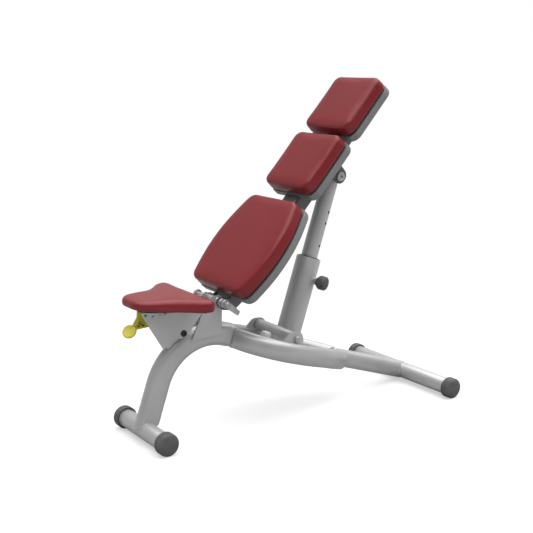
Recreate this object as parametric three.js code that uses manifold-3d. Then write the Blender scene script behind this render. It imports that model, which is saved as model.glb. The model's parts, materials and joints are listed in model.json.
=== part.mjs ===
// Adjustable weight bench: a three-pad backrest on a telescopic strut, a tilting saddle seat and a
// tube frame whose middle opens into an eye. Millimetres, +Z up, +X to the user's right when seated,
// +Y from the seat towards the head end. The frame stands on z = 0.
import * as THREE from "three";
import { mergeVertices } from "three/addons/utils/BufferGeometryUtils.js";
import Module from "manifold-3d";

const wasm = await Module();
wasm.setup();

// ---- driving dimensions -------------------------------------------------------------------------
const GAP = 0.3; // between pieces that touch or are welded

const FOOT_SPACING = 1150; // front foot tube to rear foot tube
const FRONT_FOOT_Y = -FOOT_SPACING / 2;
const REAR_FOOT_Y = FOOT_SPACING / 2;
const FRONT_FOOT_HALF = 172; // to the outer face of the cap
const REAR_FOOT_HALF = 298;
const FOOT_CAP_R = 38.5;
const FOOT_TUBE_R = 31;
const FOOT_CAP_LENGTH = 38;
const FOOT_CAP_WALL = 14;
const FOOT_Z = FOOT_CAP_R;

const LEG_WIDTH = 50;
const LEG_DEPTH = 84;
const LEG_BEND_R = 209; // on the centreline
const LEG_BEND = { y: -325, z: 123 };
const LEG_RAKE = THREE.MathUtils.degToRad(71);
const LEG_TAIL = 18; // straight run past the bend
const LEG_TOP = { y: -262, z: 368 }; // the leg's upper face is pressed flatter towards the eye

const SLOPE = THREE.MathUtils.degToRad(18.3); // fall of the eye and the rear spine
const EYE_TUBE_HEIGHT = 72;
const EYE_TUBE_WIDTH = 52;
const SPINE_TUBE_HEIGHT = 68;
const SPINE_TUBE_WIDTH = 52;

const HINGE = { y: -305, z: 452 }; // backrest hinge axis
const BACKREST_ANGLE = THREE.MathUtils.degToRad(48);
const AXLE_R = 9.5;
const HINGE_BARREL_R = 13.5;
const HINGE_BARREL_HALF = 42;

const PAD_FACE = 35; // pad front face, above the hinge axis, in the backrest's own frame
const PAD_THICKNESS = 46;
const BOARD_THICKNESS = 6;
const COVER_THICKNESS = 29;
const BACK_SPINE_HALF = 42;
const BACK_SPINE_FRONT = -25;
const BACK_SPINE_REAR = -85;
const BACK_SPINE_TOP = 905;

const STRUT_BASE = { y: -37, z: 294 }; // strut's lower pivot on the frame
const STRUT_TOP = { y: 631.8, z: -117.4 }; // strut's upper pivot, in the backrest's frame
const STRUT_OFFSET = 52; // strut centreline behind its lower pivot
const STRUT_BARREL_R = 22;
const STRUT_BARREL_HALF = 112;
const OUTER_R = 44.5;
const OUTER_BORE_R = 34;
const OUTER_LENGTH = 289;
const INNER_R = 29.7;
const INNER_BORE_R = 25;
const INNER_START = 204;
const HOLE_PITCH = 42;
const HOLE_R = 5.5;
const HOLE_STEPS = [0, 1, 3, 5, 6]; // in hole pitches from the pop pin
const PIN_ALONG = 212; // pop pin's place along the strut
const PIN_TURN = THREE.MathUtils.degToRad(65); // from straight back towards the user's right

const SEAT_PIVOT = { y: -443, z: 362 };
const SEAT_PLATE_INNER = 35;
const SEAT_PLATE_THICKNESS = 5;
const SEAT_PAD_BOTTOM = 455;
const SEAT_PAD_THICKNESS = 40;
const SEAT_NOSE_Y = -630;
const SEAT_REAR_Y = -389;
const SEAT_RISE_START = SEAT_NOSE_Y + 110; // ahead of this the pad's underside rises to the nose
const SEAT_RISE = THREE.MathUtils.degToRad(5);
const LEVER_PIVOT = { y: -511, z: 437 };

const PLATE = 6; // bracket plates
const EAR = 8; // ears and lugs

// The bench is centred on its own length: the seat's nose reaches further than the front foot.
const CENTRE_SHIFT = -(SEAT_NOSE_Y + REAR_FOOT_Y + FOOT_CAP_R) / 2;

// ---- materials ----------------------------------------------------------------------------------
function material(color, roughness, metalness) {
  return new THREE.MeshStandardMaterial({ color, roughness, metalness });
}
const FRAME_PAINT = material(0xb4b6b8, 0.4, 0.3);
const VINYL = material(0x8c3236, 0.5, 0);
const DARK_PAINT = material(0x5f6463, 0.5, 0.2);
const COVER_PLASTIC = material(0x6a6f6e, 0.6, 0);
const BLACK_PLASTIC = material(0x1b1b1c, 0.6, 0);
const RUBBER = material(0x57595a, 0.7, 0);
const STEEL = material(0xc8cacc, 0.3, 0.9);
const YELLOW_PLASTIC = material(0xdcd93a, 0.45, 0);
const PALE_RUBBER = material(0xe2e2de, 0.6, 0);

// ---- solids and placing -------------------------------------------------------------------------
function solid(geometry) {
  const bare = geometry.index ? geometry.toNonIndexed() : geometry.clone();
  const positions = new THREE.BufferGeometry().setAttribute("position", bare.getAttribute("position"));
  const merged = mergeVertices(positions, 1e-3);
  return new wasm.Manifold(
    new wasm.Mesh({
      numProp: 3,
      vertProperties: merged.getAttribute("position").array,
      triVerts: new Uint32Array(merged.index.array),
    }),
  );
}

function geometryOf(manifold) {
  const mesh = manifold.getMesh();
  const geometry = new THREE.BufferGeometry();
  geometry.setAttribute("position", new THREE.BufferAttribute(new Float32Array(mesh.vertProperties), 3));
  geometry.setIndex(new THREE.BufferAttribute(new Uint32Array(mesh.triVerts), 1));
  geometry.computeVertexNormals();
  return geometry;
}

function cut(geometry, ...tools) {
  let rest = solid(geometry);
  for (const tool of tools) rest = rest.subtract(solid(tool));
  return geometryOf(rest);
}

function join(...geometries) {
  return geometryOf(geometries.map(solid).reduce((sum, next) => sum.add(next)));
}

function add(group, name, geometry, paint) {
  const mesh = new THREE.Mesh(geometry, paint);
  mesh.name = name;
  group.add(mesh);
  return mesh;
}

function box(x, y, z) {
  const geometry = new THREE.BoxGeometry(x[1] - x[0], y[1] - y[0], z[1] - z[0]);
  return geometry.translate((x[0] + x[1]) / 2, (y[0] + y[1]) / 2, (z[0] + z[1]) / 2);
}

// A round bar along X, Y or Z whose flats, not corners, lie across the axes.
function bar(axis, radius, from, to, sides = 16) {
  const geometry = new THREE.CylinderGeometry(radius, radius, to - from, sides);
  geometry.rotateY(Math.PI / sides).translate(0, (from + to) / 2, 0);
  return pointAlong(axis, geometry);
}

function pointAlong(axis, geometry) {
  if (axis === "x") geometry.rotateZ(-Math.PI / 2);
  if (axis === "z") geometry.rotateX(Math.PI / 2);
  return geometry;
}

// A bar along X through the point (y, z).
function crossBar(radius, from, to, place, sides = 16) {
  return bar("x", radius, from, to, sides).translate(0, place.y, place.z);
}

function ring(radius, bore, from, to, place, sides = 16) {
  return cut(crossBar(radius, from, to, place, sides), crossBar(bore, from - 1, to + 1, place));
}

// A closed outline from corners [a, b, radius], each rounded where it has a radius.
function outline(corners) {
  const shape = new THREE.Shape();
  const count = corners.length;
  corners.forEach(([a, b, radius = 0], i) => {
    const here = new THREE.Vector2(a, b);
    const [beforeA, beforeB] = corners[(i + count - 1) % count];
    const [afterA, afterB] = corners[(i + 1) % count];
    const before = new THREE.Vector2(beforeA, beforeB).sub(here).normalize();
    const after = new THREE.Vector2(afterA, afterB).sub(here).normalize();
    const half = Math.acos(before.dot(after)) / 2;
    const reach = radius / Math.tan(half);
    const from = here.clone().addScaledVector(before, reach);
    const to = here.clone().addScaledVector(after, reach);
    if (i === 0) shape.moveTo(from.x, from.y);
    else shape.lineTo(from.x, from.y);
    if (radius > 0) shape.quadraticCurveTo(a, b, to.x, to.y);
  });
  shape.closePath();
  return shape;
}

function extruded(shape, depth, curveSegments, edge = 0) {
  return new THREE.ExtrudeGeometry(shape, {
    depth: depth - 2 * edge,
    curveSegments,
    bevelEnabled: edge > 0,
    bevelThickness: edge,
    bevelSize: edge,
    bevelOffset: -edge,
    bevelSegments: 2,
  }).translate(0, 0, edge);
}

// A plate whose outline lies in the YZ plane, between two X positions.
function sidePlate(corners, from, to, edge = 0) {
  const geometry = extruded(outline(corners), to - from, 5, edge);
  const basis = new THREE.Matrix4().makeBasis(
    new THREE.Vector3(0, 1, 0),
    new THREE.Vector3(0, 0, 1),
    new THREE.Vector3(1, 0, 0),
  );
  return geometry.applyMatrix4(basis).translate(from, 0, 0);
}

function flatOval(across, along) {
  const shape = new THREE.Shape();
  const r = across / 2;
  const straight = along / 2 - r;
  shape.absarc(0, straight, r, 0, Math.PI, false);
  shape.absarc(0, -straight, r, Math.PI, 2 * Math.PI, false);
  shape.closePath();
  return shape;
}

function swept(shape, path, steps, curveSegments) {
  return new THREE.ExtrudeGeometry(shape, { extrudePath: path, steps, curveSegments });
}

class Bend extends THREE.Curve {
  constructor(centre, radius, from, to) {
    super();
    Object.assign(this, { centre, radius, from, to });
  }
  getPoint(t, target = new THREE.Vector3()) {
    const angle = this.from + (this.to - this.from) * t;
    const y = this.centre.y + this.radius * Math.cos(angle);
    return target.set(0, y, this.centre.z + this.radius * Math.sin(angle));
  }
}

const SIDES = [
  ["left", -1],
  ["right", 1],
];

const bench = new THREE.Group();
bench.position.y = CENTRE_SHIFT;

// ---- feet ---------------------------------------------------------------------------------------
function footTube(y, half, grow = 0) {
  const reach = half - FOOT_CAP_WALL - GAP;
  return crossBar(FOOT_TUBE_R + grow, -reach, reach, { y, z: FOOT_Z }, 24);
}

function footCap(y, half, side) {
  const profile = [
    [0, 0],
    [FOOT_CAP_R - 7, 0],
    [FOOT_CAP_R - 2, -2],
    [FOOT_CAP_R, -7],
    [FOOT_CAP_R, -FOOT_CAP_LENGTH],
    [FOOT_TUBE_R + GAP, -FOOT_CAP_LENGTH],
    [FOOT_TUBE_R + GAP, -FOOT_CAP_WALL],
    [0, -FOOT_CAP_WALL],
  ];
  const sides = 28;
  const corner = 1 / Math.cos(Math.PI / sides);
  const points = profile.reverse().map(([r, along]) => new THREE.Vector2(r * corner, along));
  const geometry = pointAlong("x", new THREE.LatheGeometry(points, sides, Math.PI / sides));
  if (side < 0) geometry.rotateZ(Math.PI);
  return geometry.translate(side * half, y, FOOT_Z);
}

for (const [end, y, half] of [
  ["front", FRONT_FOOT_Y, FRONT_FOOT_HALF],
  ["rear", REAR_FOOT_Y, REAR_FOOT_HALF],
]) {
  add(bench, `${end}_foot_tube`, footTube(y, half), FRAME_PAINT);
  for (const [name, side] of SIDES) add(bench, `${end}_foot_cap_${name}`, footCap(y, half, side), RUBBER);
}

// ---- eye of two diverging tubes, and the rear spine, on one slope --------------------------------
const SLOPE_FRAME = new THREE.Matrix4()
  .makeTranslation(0, REAR_FOOT_Y, FOOT_Z)
  .multiply(new THREE.Matrix4().makeRotationX(-SLOPE));

function slopeY(y) {
  return (y - REAR_FOOT_Y) / Math.cos(SLOPE);
}

function onSlope(geometry) {
  return geometry.applyMatrix4(SLOPE_FRAME);
}

// Centreline of the right-hand eye tube: [half-width, y].
const EYE_LINE = [
  [-14, -225],
  [58, -206],
  [103, -164],
  [127, -110],
  [131, -45],
  [118, 40],
  [90, 120],
  [60, 185],
  [39, 220],
  [32, 234],
];

function eyeTube(side, grow = 0) {
  const line = EYE_LINE.map(([x, y]) => new THREE.Vector3(side * x, slopeY(y), 0));
  const path = new THREE.CatmullRomCurve3(line);
  const section = new THREE.Shape();
  const halfHeight = EYE_TUBE_HEIGHT / 2 + grow;
  const halfWidth = EYE_TUBE_WIDTH / 2 + grow;
  section.absellipse(0, 0, halfHeight, halfWidth, 0, 2 * Math.PI, false);
  const tube = swept(section, path, 20, 8);
  const end = new THREE.SphereGeometry(1, 16, 8).rotateX(Math.PI / 2);
  end.scale(halfWidth, halfWidth, halfHeight);
  const [endX, endY] = EYE_LINE.at(-1);
  end.translate(side * endX, slopeY(endY), 0);
  const beyond = side > 0 ? [-200, GAP / 2 - grow] : [grow - GAP / 2, 200];
  const otherHalf = box(beyond, [-1000, 0], [-100, 100]);
  return onSlope(cut(join(tube, end), otherHalf));
}

for (const [name, side] of SIDES) add(bench, `eye_tube_${name}`, eyeTube(side), FRAME_PAINT);

const eyeTools = SIDES.map(([, side]) => eyeTube(side, GAP));

const SPINE_START = slopeY(216);
const spineSection = flatOval(SPINE_TUBE_WIDTH, SPINE_TUBE_HEIGHT);
const rearSpine = onSlope(
  new THREE.ExtrudeGeometry(spineSection, { depth: -SPINE_START, bevelEnabled: false, curveSegments: 5 })
    .rotateX(Math.PI / 2),
);
add(
  bench,
  "rear_spine_tube",
  cut(rearSpine, footTube(REAR_FOOT_Y, REAR_FOOT_HALF, GAP), ...eyeTools),
  FRAME_PAINT,
);

// ---- leg: up from the front foot, over the bend and down to the eye ------------------------------
function legPath() {
  const bendStart = Math.PI / 2 + LEG_RAKE;
  const bendEnd = Math.PI / 2 - SLOPE;
  const bend = new Bend(LEG_BEND, LEG_BEND_R, bendStart, bendEnd);
  const top = bend.getPoint(0);
  const drop = top.z - FOOT_Z + FOOT_TUBE_R;
  const foot = new THREE.Vector3(0, top.y - drop / Math.tan(LEG_RAKE), top.z - drop);
  const end = bend.getPoint(1);
  const tail = new THREE.Vector3(0, end.y + LEG_TAIL, end.z - LEG_TAIL * Math.tan(SLOPE));
  const path = new THREE.CurvePath();
  path.add(new THREE.LineCurve3(foot, top));
  path.add(bend);
  path.add(new THREE.LineCurve3(end, tail));
  return path;
}

const legTaper = box([-100, 100], [-200, 200], [0, 100])
  .rotateX(-SLOPE)
  .translate(0, LEG_TOP.y, LEG_TOP.z);
const leg = cut(
  swept(flatOval(LEG_WIDTH, LEG_DEPTH), legPath(), 20, 4),
  legTaper,
  footTube(FRONT_FOOT_Y, FRONT_FOOT_HALF, GAP),
  box([-100, 100], [-700, -400], [-100, FOOT_Z + 14]),
  ...eyeTools,
);
add(bench, "leg_tube", leg, FRAME_PAINT);

// ---- hinge bracket on the leg --------------------------------------------------------------------
const BRACKET_OUTLINE = [
  [-409, 326, 5],
  [-352, 444, 12],
  [-328, 471, 13],
  [-285, 469, 13],
  [-289, 334, 3],
];
const bracketInner = LEG_WIDTH / 2 + GAP;
for (const [name, side] of SIDES) {
  const [from, to] = side > 0 ? [bracketInner, bracketInner + PLATE] : [-bracketInner - PLATE, -bracketInner];
  const hole = crossBar(HINGE_BARREL_R + GAP, from - 1, to + 1, HINGE);
  add(bench, `hinge_bracket_${name}`, cut(sidePlate(BRACKET_OUTLINE, from, to), hole), FRAME_PAINT);
}
const hingeBarrel = ring(HINGE_BARREL_R, AXLE_R + 0.4, -HINGE_BARREL_HALF, HINGE_BARREL_HALF, HINGE);
add(bench, "hinge_barrel", hingeBarrel, STEEL);

// ---- seat pivot bush and latch quadrant on the leg -----------------------------------------------
const SEAT_BOLT_R = 7;
const bushHalf = SEAT_PLATE_INNER - 0.5;
add(bench, "seat_pivot_bush", ring(12, SEAT_BOLT_R + 0.4, -bushHalf, bushHalf, SEAT_PIVOT), STEEL);

function latchQuadrant() {
  const radius = 78;
  const half = 14;
  const disc = crossBar(radius, -half, half, SEAT_PIVOT, 40);
  const keep = sidePlate(
    [
      [-424, 330],
      [-424, 378],
      [-446, 455],
      [-535, 450],
      [-530, 372],
      [-486, 303],
      [-466, 300],
    ],
    -half - 1,
    half + 1,
  );
  let quadrant = solid(disc).intersect(solid(keep));
  const notchCount = 4;
  for (let i = 0; i < notchCount; i += 1) {
    const angle = THREE.MathUtils.degToRad(112 + 15 * i);
    const notch = crossBar(5, -half - 1, half + 1, {
      y: SEAT_PIVOT.y + radius * Math.cos(angle),
      z: SEAT_PIVOT.z + radius * Math.sin(angle),
    }, 12);
    quadrant = quadrant.subtract(solid(notch));
  }
  return quadrant.subtract(solid(crossBar(12 + GAP, -half - 1, half + 1, SEAT_PIVOT)));
}
const legTool = swept(flatOval(LEG_WIDTH + 2 * GAP, LEG_DEPTH + 2 * GAP), legPath(), 20, 4);
add(bench, "seat_latch_quadrant", geometryOf(latchQuadrant().subtract(solid(legTool))), FRAME_PAINT);

// ---- strut mounting on the eye -------------------------------------------------------------------
const basePlate = onSlope(box([-126, 126], [slopeY(-114), slopeY(-76)], [2, 10]));
add(bench, "strut_base_plate", cut(basePlate, ...eyeTools), FRAME_PAINT);
add(
  bench,
  "strut_bumper",
  onSlope(bar("z", 17.5, 10 + GAP, 44, 20).translate(0, slopeY(-94), 0)),
  PALE_RUBBER,
);

const STRUT_BOLT_R = 8;
const EAR_OUTLINE = [
  [-100, 260],
  [-100, 288, 6],
  [-62, 322, 24],
  [-8, 318, 24],
  [-4, 230],
];
const earInner = STRUT_BARREL_HALF + 1;
for (const [name, side] of SIDES) {
  const [from, to] = side > 0 ? [earInner, earInner + EAR] : [-earInner - EAR, -earInner];
  const hole = crossBar(STRUT_BOLT_R + GAP, from - 1, to + 1, STRUT_BASE);
  add(bench, `strut_ear_${name}`, cut(sidePlate(EAR_OUTLINE, from, to), hole, ...eyeTools), FRAME_PAINT);
}

const earOuter = earInner + EAR;
const lowerBolt = join(
  crossBar(STRUT_BOLT_R, -earOuter - 11, earOuter + 2, STRUT_BASE),
  crossBar(12, earOuter + GAP, earOuter + 9, STRUT_BASE, 6),
);
add(bench, "strut_pivot_bolt", lowerBolt, STEEL);
add(
  bench,
  "strut_pivot_nut",
  ring(12, STRUT_BOLT_R + GAP, -earOuter - 9, -earOuter - GAP, STRUT_BASE, 6),
  STEEL,
);

// ---- backrest: its own frame has the hinge axis at the origin, +Y up the pads, +Z out of the face --
const backrest = new THREE.Group();
backrest.position.set(0, HINGE.y, HINGE.z);
backrest.rotation.x = BACKREST_ANGLE;
bench.add(backrest);

function symmetric(rightSide) {
  const leftSide = rightSide.map(([x, y, r]) => [-x, y, r]).reverse();
  return [...rightSide, ...leftSide];
}

function lumbarOutline(inset) {
  return symmetric([
    [158 - inset, 38 + inset, 40],
    [208 - inset, 230, 440],
    [137 - inset, 421 - inset, 44],
  ]);
}

function squareOutline(from, to, half, inset) {
  return symmetric([
    [half - inset, from + inset, 37],
    [half - inset, to - inset, 37],
  ]);
}

const PADS = [
  ["lumbar", lumbarOutline],
  ["middle", (inset) => squareOutline(470, 712, 130, inset)],
  ["head", (inset) => squareOutline(732, 974, 126, inset)],
];

const spineCorners = [
  [26, BACK_SPINE_FRONT],
  [36, -58, 14],
  [98, BACK_SPINE_REAR, 14],
  [BACK_SPINE_TOP, BACK_SPINE_REAR],
  [BACK_SPINE_TOP, BACK_SPINE_FRONT],
];
add(
  backrest,
  "backrest_spine",
  sidePlate(spineCorners, -BACK_SPINE_HALF, BACK_SPINE_HALF, 8),
  DARK_PAINT,
);
const coverChannel = box(
  [-BACK_SPINE_HALF - GAP, BACK_SPINE_HALF + GAP],
  [-10, BACK_SPINE_TOP + 20],
  [BACK_SPINE_REAR - 10, BACK_SPINE_FRONT + GAP],
);
const lugReach = BACK_SPINE_HALF + 2 * GAP + EAR;
const lugRecess = box([-lugReach, lugReach], [-10, 66], [BACK_SPINE_REAR - 10, -2]);
for (const [name, shapeOf] of PADS) {
  let face = PAD_FACE;
  const layer = (thickness, inset, edge) => {
    face -= thickness;
    const geometry = extruded(outline(shapeOf(inset)), thickness, 5, edge).translate(0, 0, face);
    face -= GAP;
    return geometry;
  };
  add(backrest, `${name}_pad`, layer(PAD_THICKNESS, 0, 14), VINYL);
  add(backrest, `${name}_board`, layer(BOARD_THICKNESS, 9, 0), BLACK_PLASTIC);
  add(backrest, `${name}_cover`, cut(layer(COVER_THICKNESS, 2, 9), coverChannel, lugRecess), COVER_PLASTIC);
}

const ORIGIN = { y: 0, z: 0 };
const LUG_OUTLINE = [
  [-14, 14, 13],
  [-16, -26, 10],
  [10, -66, 10],
  [62, -76, 6],
  [62, -34, 6],
  [18, -16, 10],
  [14, 14, 13],
];
const lugInner = BACK_SPINE_HALF + GAP;
for (const [name, side] of SIDES) {
  const [from, to] = side > 0 ? [lugInner, lugInner + EAR] : [-lugInner - EAR, -lugInner];
  const hole = crossBar(AXLE_R + GAP, from - 1, to + 1, ORIGIN);
  add(backrest, `hinge_lug_${name}`, cut(sidePlate(LUG_OUTLINE, from, to), hole), DARK_PAINT);
}

const AXLE_LEFT = -112;
const AXLE_RIGHT = 104;
add(backrest, "hinge_axle", crossBar(AXLE_R, AXLE_LEFT, AXLE_RIGHT, ORIGIN), STEEL);
const COLLARS = [
  ["left", -106],
  ["right_inner", 58],
  ["right_outer", 78],
];
for (const [name, from] of COLLARS) {
  add(backrest, `axle_collar_${name}`, ring(15, AXLE_R + GAP, from, from + 11, ORIGIN), STEEL);
}
const STOP_TAB_OUTLINE = [
  [-11, 11, 10],
  [-11, -10, 6],
  [-6, -58, 3],
  [10, -56, 3],
  [11, -10, 6],
  [11, 11, 10],
];
const stopTab = cut(sidePlate(STOP_TAB_OUTLINE, 92, 100), crossBar(AXLE_R + GAP, 90, 105, ORIGIN));
add(backrest, "stop_tab", stopTab, STEEL);

const UPPER_EAR_OUTLINE = [
  [STRUT_TOP.y - 27, STRUT_TOP.z - 26, 25],
  [STRUT_TOP.y + 27, STRUT_TOP.z - 26, 25],
  [STRUT_TOP.y + 38, -50, 6],
  [STRUT_TOP.y - 24, -50, 6],
];
const UPPER_BOLT_R = 8;
const upperEarOuter = lugInner + EAR;
for (const [name, side] of SIDES) {
  const span = (from, to) => (side > 0 ? [from, to] : [-to, -from]);
  const hole = crossBar(UPPER_BOLT_R + GAP, ...span(lugInner - 1, upperEarOuter + 1), STRUT_TOP);
  const ear = cut(sidePlate(UPPER_EAR_OUTLINE, ...span(lugInner, upperEarOuter)), hole);
  add(backrest, `upper_ear_${name}`, ear, DARK_PAINT);
  const stub = join(
    crossBar(UPPER_BOLT_R, ...span(lugInner, upperEarOuter + 2), STRUT_TOP),
    crossBar(17, ...span(upperEarOuter + GAP, upperEarOuter + 9), STRUT_TOP),
  );
  const socket = crossBar(6, ...span(upperEarOuter + 3, upperEarOuter + 12), STRUT_TOP, 6);
  add(backrest, `upper_bolt_${name}`, cut(stub, socket), STEEL);
}

// ---- strut: its frame has the lower pivot at the origin and +Y along the tubes -------------------
const strutTop = new THREE.Vector3(0, STRUT_TOP.y, STRUT_TOP.z);
strutTop.applyAxisAngle(new THREE.Vector3(1, 0, 0), BACKREST_ANGLE);
const reachY = HINGE.y + strutTop.y - STRUT_BASE.y;
const reachZ = HINGE.z + strutTop.z - STRUT_BASE.z;
const reach = Math.hypot(reachY, reachZ);
const STRUT_ANGLE = Math.atan2(reachZ, reachY) + Math.asin(STRUT_OFFSET / reach);
const STRUT_LENGTH = Math.sqrt(reach ** 2 - STRUT_OFFSET ** 2);

const strut = new THREE.Group();
strut.position.set(0, STRUT_BASE.y, STRUT_BASE.z);
strut.rotation.x = STRUT_ANGLE;
bench.add(strut);

function tubeBar(radius, from, to, sides = 24) {
  return bar("y", radius, from, to, sides).translate(0, 0, -STRUT_OFFSET);
}

// A radial tool or piece along the pop pin's direction, at a distance along the strut.
function alongPin(geometry, distance) {
  return geometry.rotateY(Math.PI - PIN_TURN).translate(0, distance, -STRUT_OFFSET);
}

add(
  strut,
  "strut_barrel",
  ring(STRUT_BARREL_R, STRUT_BOLT_R + 0.4, -STRUT_BARREL_HALF, STRUT_BARREL_HALF, ORIGIN, 24),
  FRAME_PAINT,
);
const PIN_HOUSING_R = 13;
const outerTube = cut(
  tubeBar(OUTER_R, -8, OUTER_LENGTH),
  tubeBar(OUTER_BORE_R, -20, OUTER_LENGTH + 10),
  crossBar(STRUT_BARREL_R + GAP, -80, 80, ORIGIN, 24),
  alongPin(bar("z", PIN_HOUSING_R + GAP, 20, 70), PIN_ALONG),
);
add(strut, "strut_outer_tube", outerTube, FRAME_PAINT);

const GUIDE_LENGTH = 36;
const guideBush = cut(
  join(
    tubeBar(OUTER_BORE_R - GAP, OUTER_LENGTH - GUIDE_LENGTH, OUTER_LENGTH + 1),
    tubeBar(OUTER_BORE_R + 4, OUTER_LENGTH + GAP, OUTER_LENGTH + 3),
  ),
  tubeBar(INNER_R + GAP, OUTER_LENGTH - GUIDE_LENGTH - 1, OUTER_LENGTH + 5),
);
add(strut, "strut_guide_bush", guideBush, BLACK_PLASTIC);

const PIN_R = 5;
const housing = cut(
  alongPin(bar("z", PIN_HOUSING_R, INNER_R + 1, 57), PIN_ALONG),
  alongPin(bar("z", PIN_R + 0.4, 20, 70), PIN_ALONG),
);
add(strut, "pin_housing", housing, STEEL);

function innerTube() {
  const tools = [
    tubeBar(INNER_BORE_R, INNER_START - 1, STRUT_LENGTH),
    bar("x", STRUT_BARREL_R + GAP, -60, 60, 24).translate(0, STRUT_LENGTH, -STRUT_OFFSET),
  ];
  for (const step of HOLE_STEPS) {
    const drill = bar("z", HOLE_R, 15, 40, 14);
    tools.push(alongPin(drill, PIN_ALONG + step * HOLE_PITCH));
  }
  return cut(tubeBar(INNER_R, INNER_START, STRUT_LENGTH - 4), ...tools);
}
add(strut, "strut_inner_tube", innerTube(), FRAME_PAINT);
add(
  strut,
  "strut_top_eye",
  ring(STRUT_BARREL_R, 9, -38, 38, { y: STRUT_LENGTH, z: -STRUT_OFFSET }, 24),
  FRAME_PAINT,
);

// ---- pop pin -------------------------------------------------------------------------------------
const KNOB_FROM = 59;
const knobProfile = [
  [PIN_R + GAP, KNOB_FROM],
  [17, KNOB_FROM],
  [24, KNOB_FROM + 9],
  [25.5, KNOB_FROM + 18],
  [25.5, KNOB_FROM + 31],
  [23, KNOB_FROM + 37],
  [0, KNOB_FROM + 38],
  [0, KNOB_FROM + 26],
  [PIN_R + GAP, KNOB_FROM + 26],
  [PIN_R + GAP, KNOB_FROM],
];
const knob = new THREE.LatheGeometry(knobProfile.map(([r, along]) => new THREE.Vector2(r, along)), 20);
add(strut, "pop_pin_knob", alongPin(pointAlong("z", knob), PIN_ALONG), RUBBER);
add(
  strut,
  "pop_pin",
  alongPin(bar("z", PIN_R, INNER_R + 0.6, KNOB_FROM + 25, 16), PIN_ALONG),
  STEEL,
);

// ---- seat ----------------------------------------------------------------------------------------
const SEAT_PLATE_REAR = [
  [-472, 352, 2],
  [-456, 345, 12],
  [-424, 358, 10],
  [-372, 420, 6],
  [-366, 449, 3],
];
const SEAT_PLATE_FRONT = {
  left: [
    [SEAT_RISE_START, 449],
    [-541, 450.6, 3],
    [-536, 438, 3],
    [-482, 332, 3],
  ],
  right: [
    [SEAT_RISE_START, 449],
    [-600, 455.8, 3],
    [-593, 440, 3],
    [-519, 318, 3],
  ],
};
const seatPlateOuter = SEAT_PLATE_INNER + SEAT_PLATE_THICKNESS;
for (const [name, side] of SIDES) {
  const [from, to] = side > 0 ? [SEAT_PLATE_INNER, seatPlateOuter] : [-seatPlateOuter, -SEAT_PLATE_INNER];
  const plate = cut(
    sidePlate([...SEAT_PLATE_FRONT[name], ...SEAT_PLATE_REAR], from, to),
    crossBar(SEAT_BOLT_R + GAP, from - 1, to + 1, SEAT_PIVOT),
    crossBar(4 + GAP, from - 1, to + 1, LEVER_PIVOT),
  );
  add(bench, `seat_plate_${name}`, plate, FRAME_PAINT);
}
function seatBolt(place, radius, headRadius) {
  const shank = seatPlateOuter + 1;
  return join(
    crossBar(radius, -shank, shank, place, 16),
    crossBar(headRadius, seatPlateOuter + GAP, seatPlateOuter + 6, place, 16),
    crossBar(headRadius, -seatPlateOuter - 6, -seatPlateOuter - GAP, place, 16),
  );
}
add(bench, "seat_pivot_bolt", seatBolt(SEAT_PIVOT, SEAT_BOLT_R, 11), BLACK_PLASTIC);
add(bench, "lever_pin", seatBolt(LEVER_PIVOT, 4, 6), STEEL);
add(
  bench,
  "seat_cross_plate",
  box([-SEAT_PLATE_INNER + GAP, SEAT_PLATE_INNER - GAP], [-485, -400], [443, 449]),
  FRAME_PAINT,
);

// Saddle outline seen from above, right-hand side from the nose to the rear edge.
function seatOutline(inset) {
  const shape = new THREE.Shape();
  const nose = SEAT_NOSE_Y + inset;
  const rear = SEAT_REAR_Y - inset;
  const width = 173 - inset;
  const right = [
    [38, nose + 2],
    [70 - inset, nose + 22],
    [86 - inset, nose + 58],
    [103 - inset, nose + 116],
    [130 - inset, nose + 152 - inset],
    [159 - inset, nose + 181 - inset],
    [width, nose + 210 - inset],
  ];
  const points = [[0, nose], ...right].map(([x, y]) => new THREE.Vector2(x, y));
  shape.moveTo(0, nose);
  shape.splineThru(points.slice(1));
  shape.quadraticCurveTo(width + 2, rear, width - 34, rear);
  shape.lineTo(-width + 34, rear);
  shape.quadraticCurveTo(-width - 2, rear, -width, points.at(-1).y);
  shape.splineThru([...points.slice(0, -1)].reverse().map((p) => new THREE.Vector2(-p.x, p.y)));
  return shape;
}
const seatPad = extruded(seatOutline(0), SEAT_PAD_THICKNESS, 4, 14).translate(0, 0, SEAT_PAD_BOTTOM);
const noseRise = box([-200, 200], [-200, 0], [-60, 0])
  .rotateX(-SEAT_RISE)
  .translate(0, SEAT_RISE_START, SEAT_PAD_BOTTOM);
add(bench, "seat_pad", cut(seatPad, noseRise), VINYL);

// The board is flat under the rear and bends up with the pad under the nose.
function seatBoard() {
  const board = solid(extruded(seatOutline(30), BOARD_THICKNESS - 2 * GAP, 3).translate(0, 0, 449 + GAP));
  const rear = solid(box([-200, 200], [SEAT_RISE_START, 0], [400, 500]));
  const climb = Math.tan(SEAT_RISE);
  const lift = climb * SEAT_RISE_START;
  const bend = new THREE.Matrix4().set(1, 0, 0, 0, 0, 1, 0, 0, 0, -climb, 1, lift, 0, 0, 0, 1);
  const front = geometryOf(board.subtract(rear)).applyMatrix4(bend);
  return join(geometryOf(board.intersect(rear)), front);
}
add(bench, "seat_board", seatBoard(), BLACK_PLASTIC);

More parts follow.
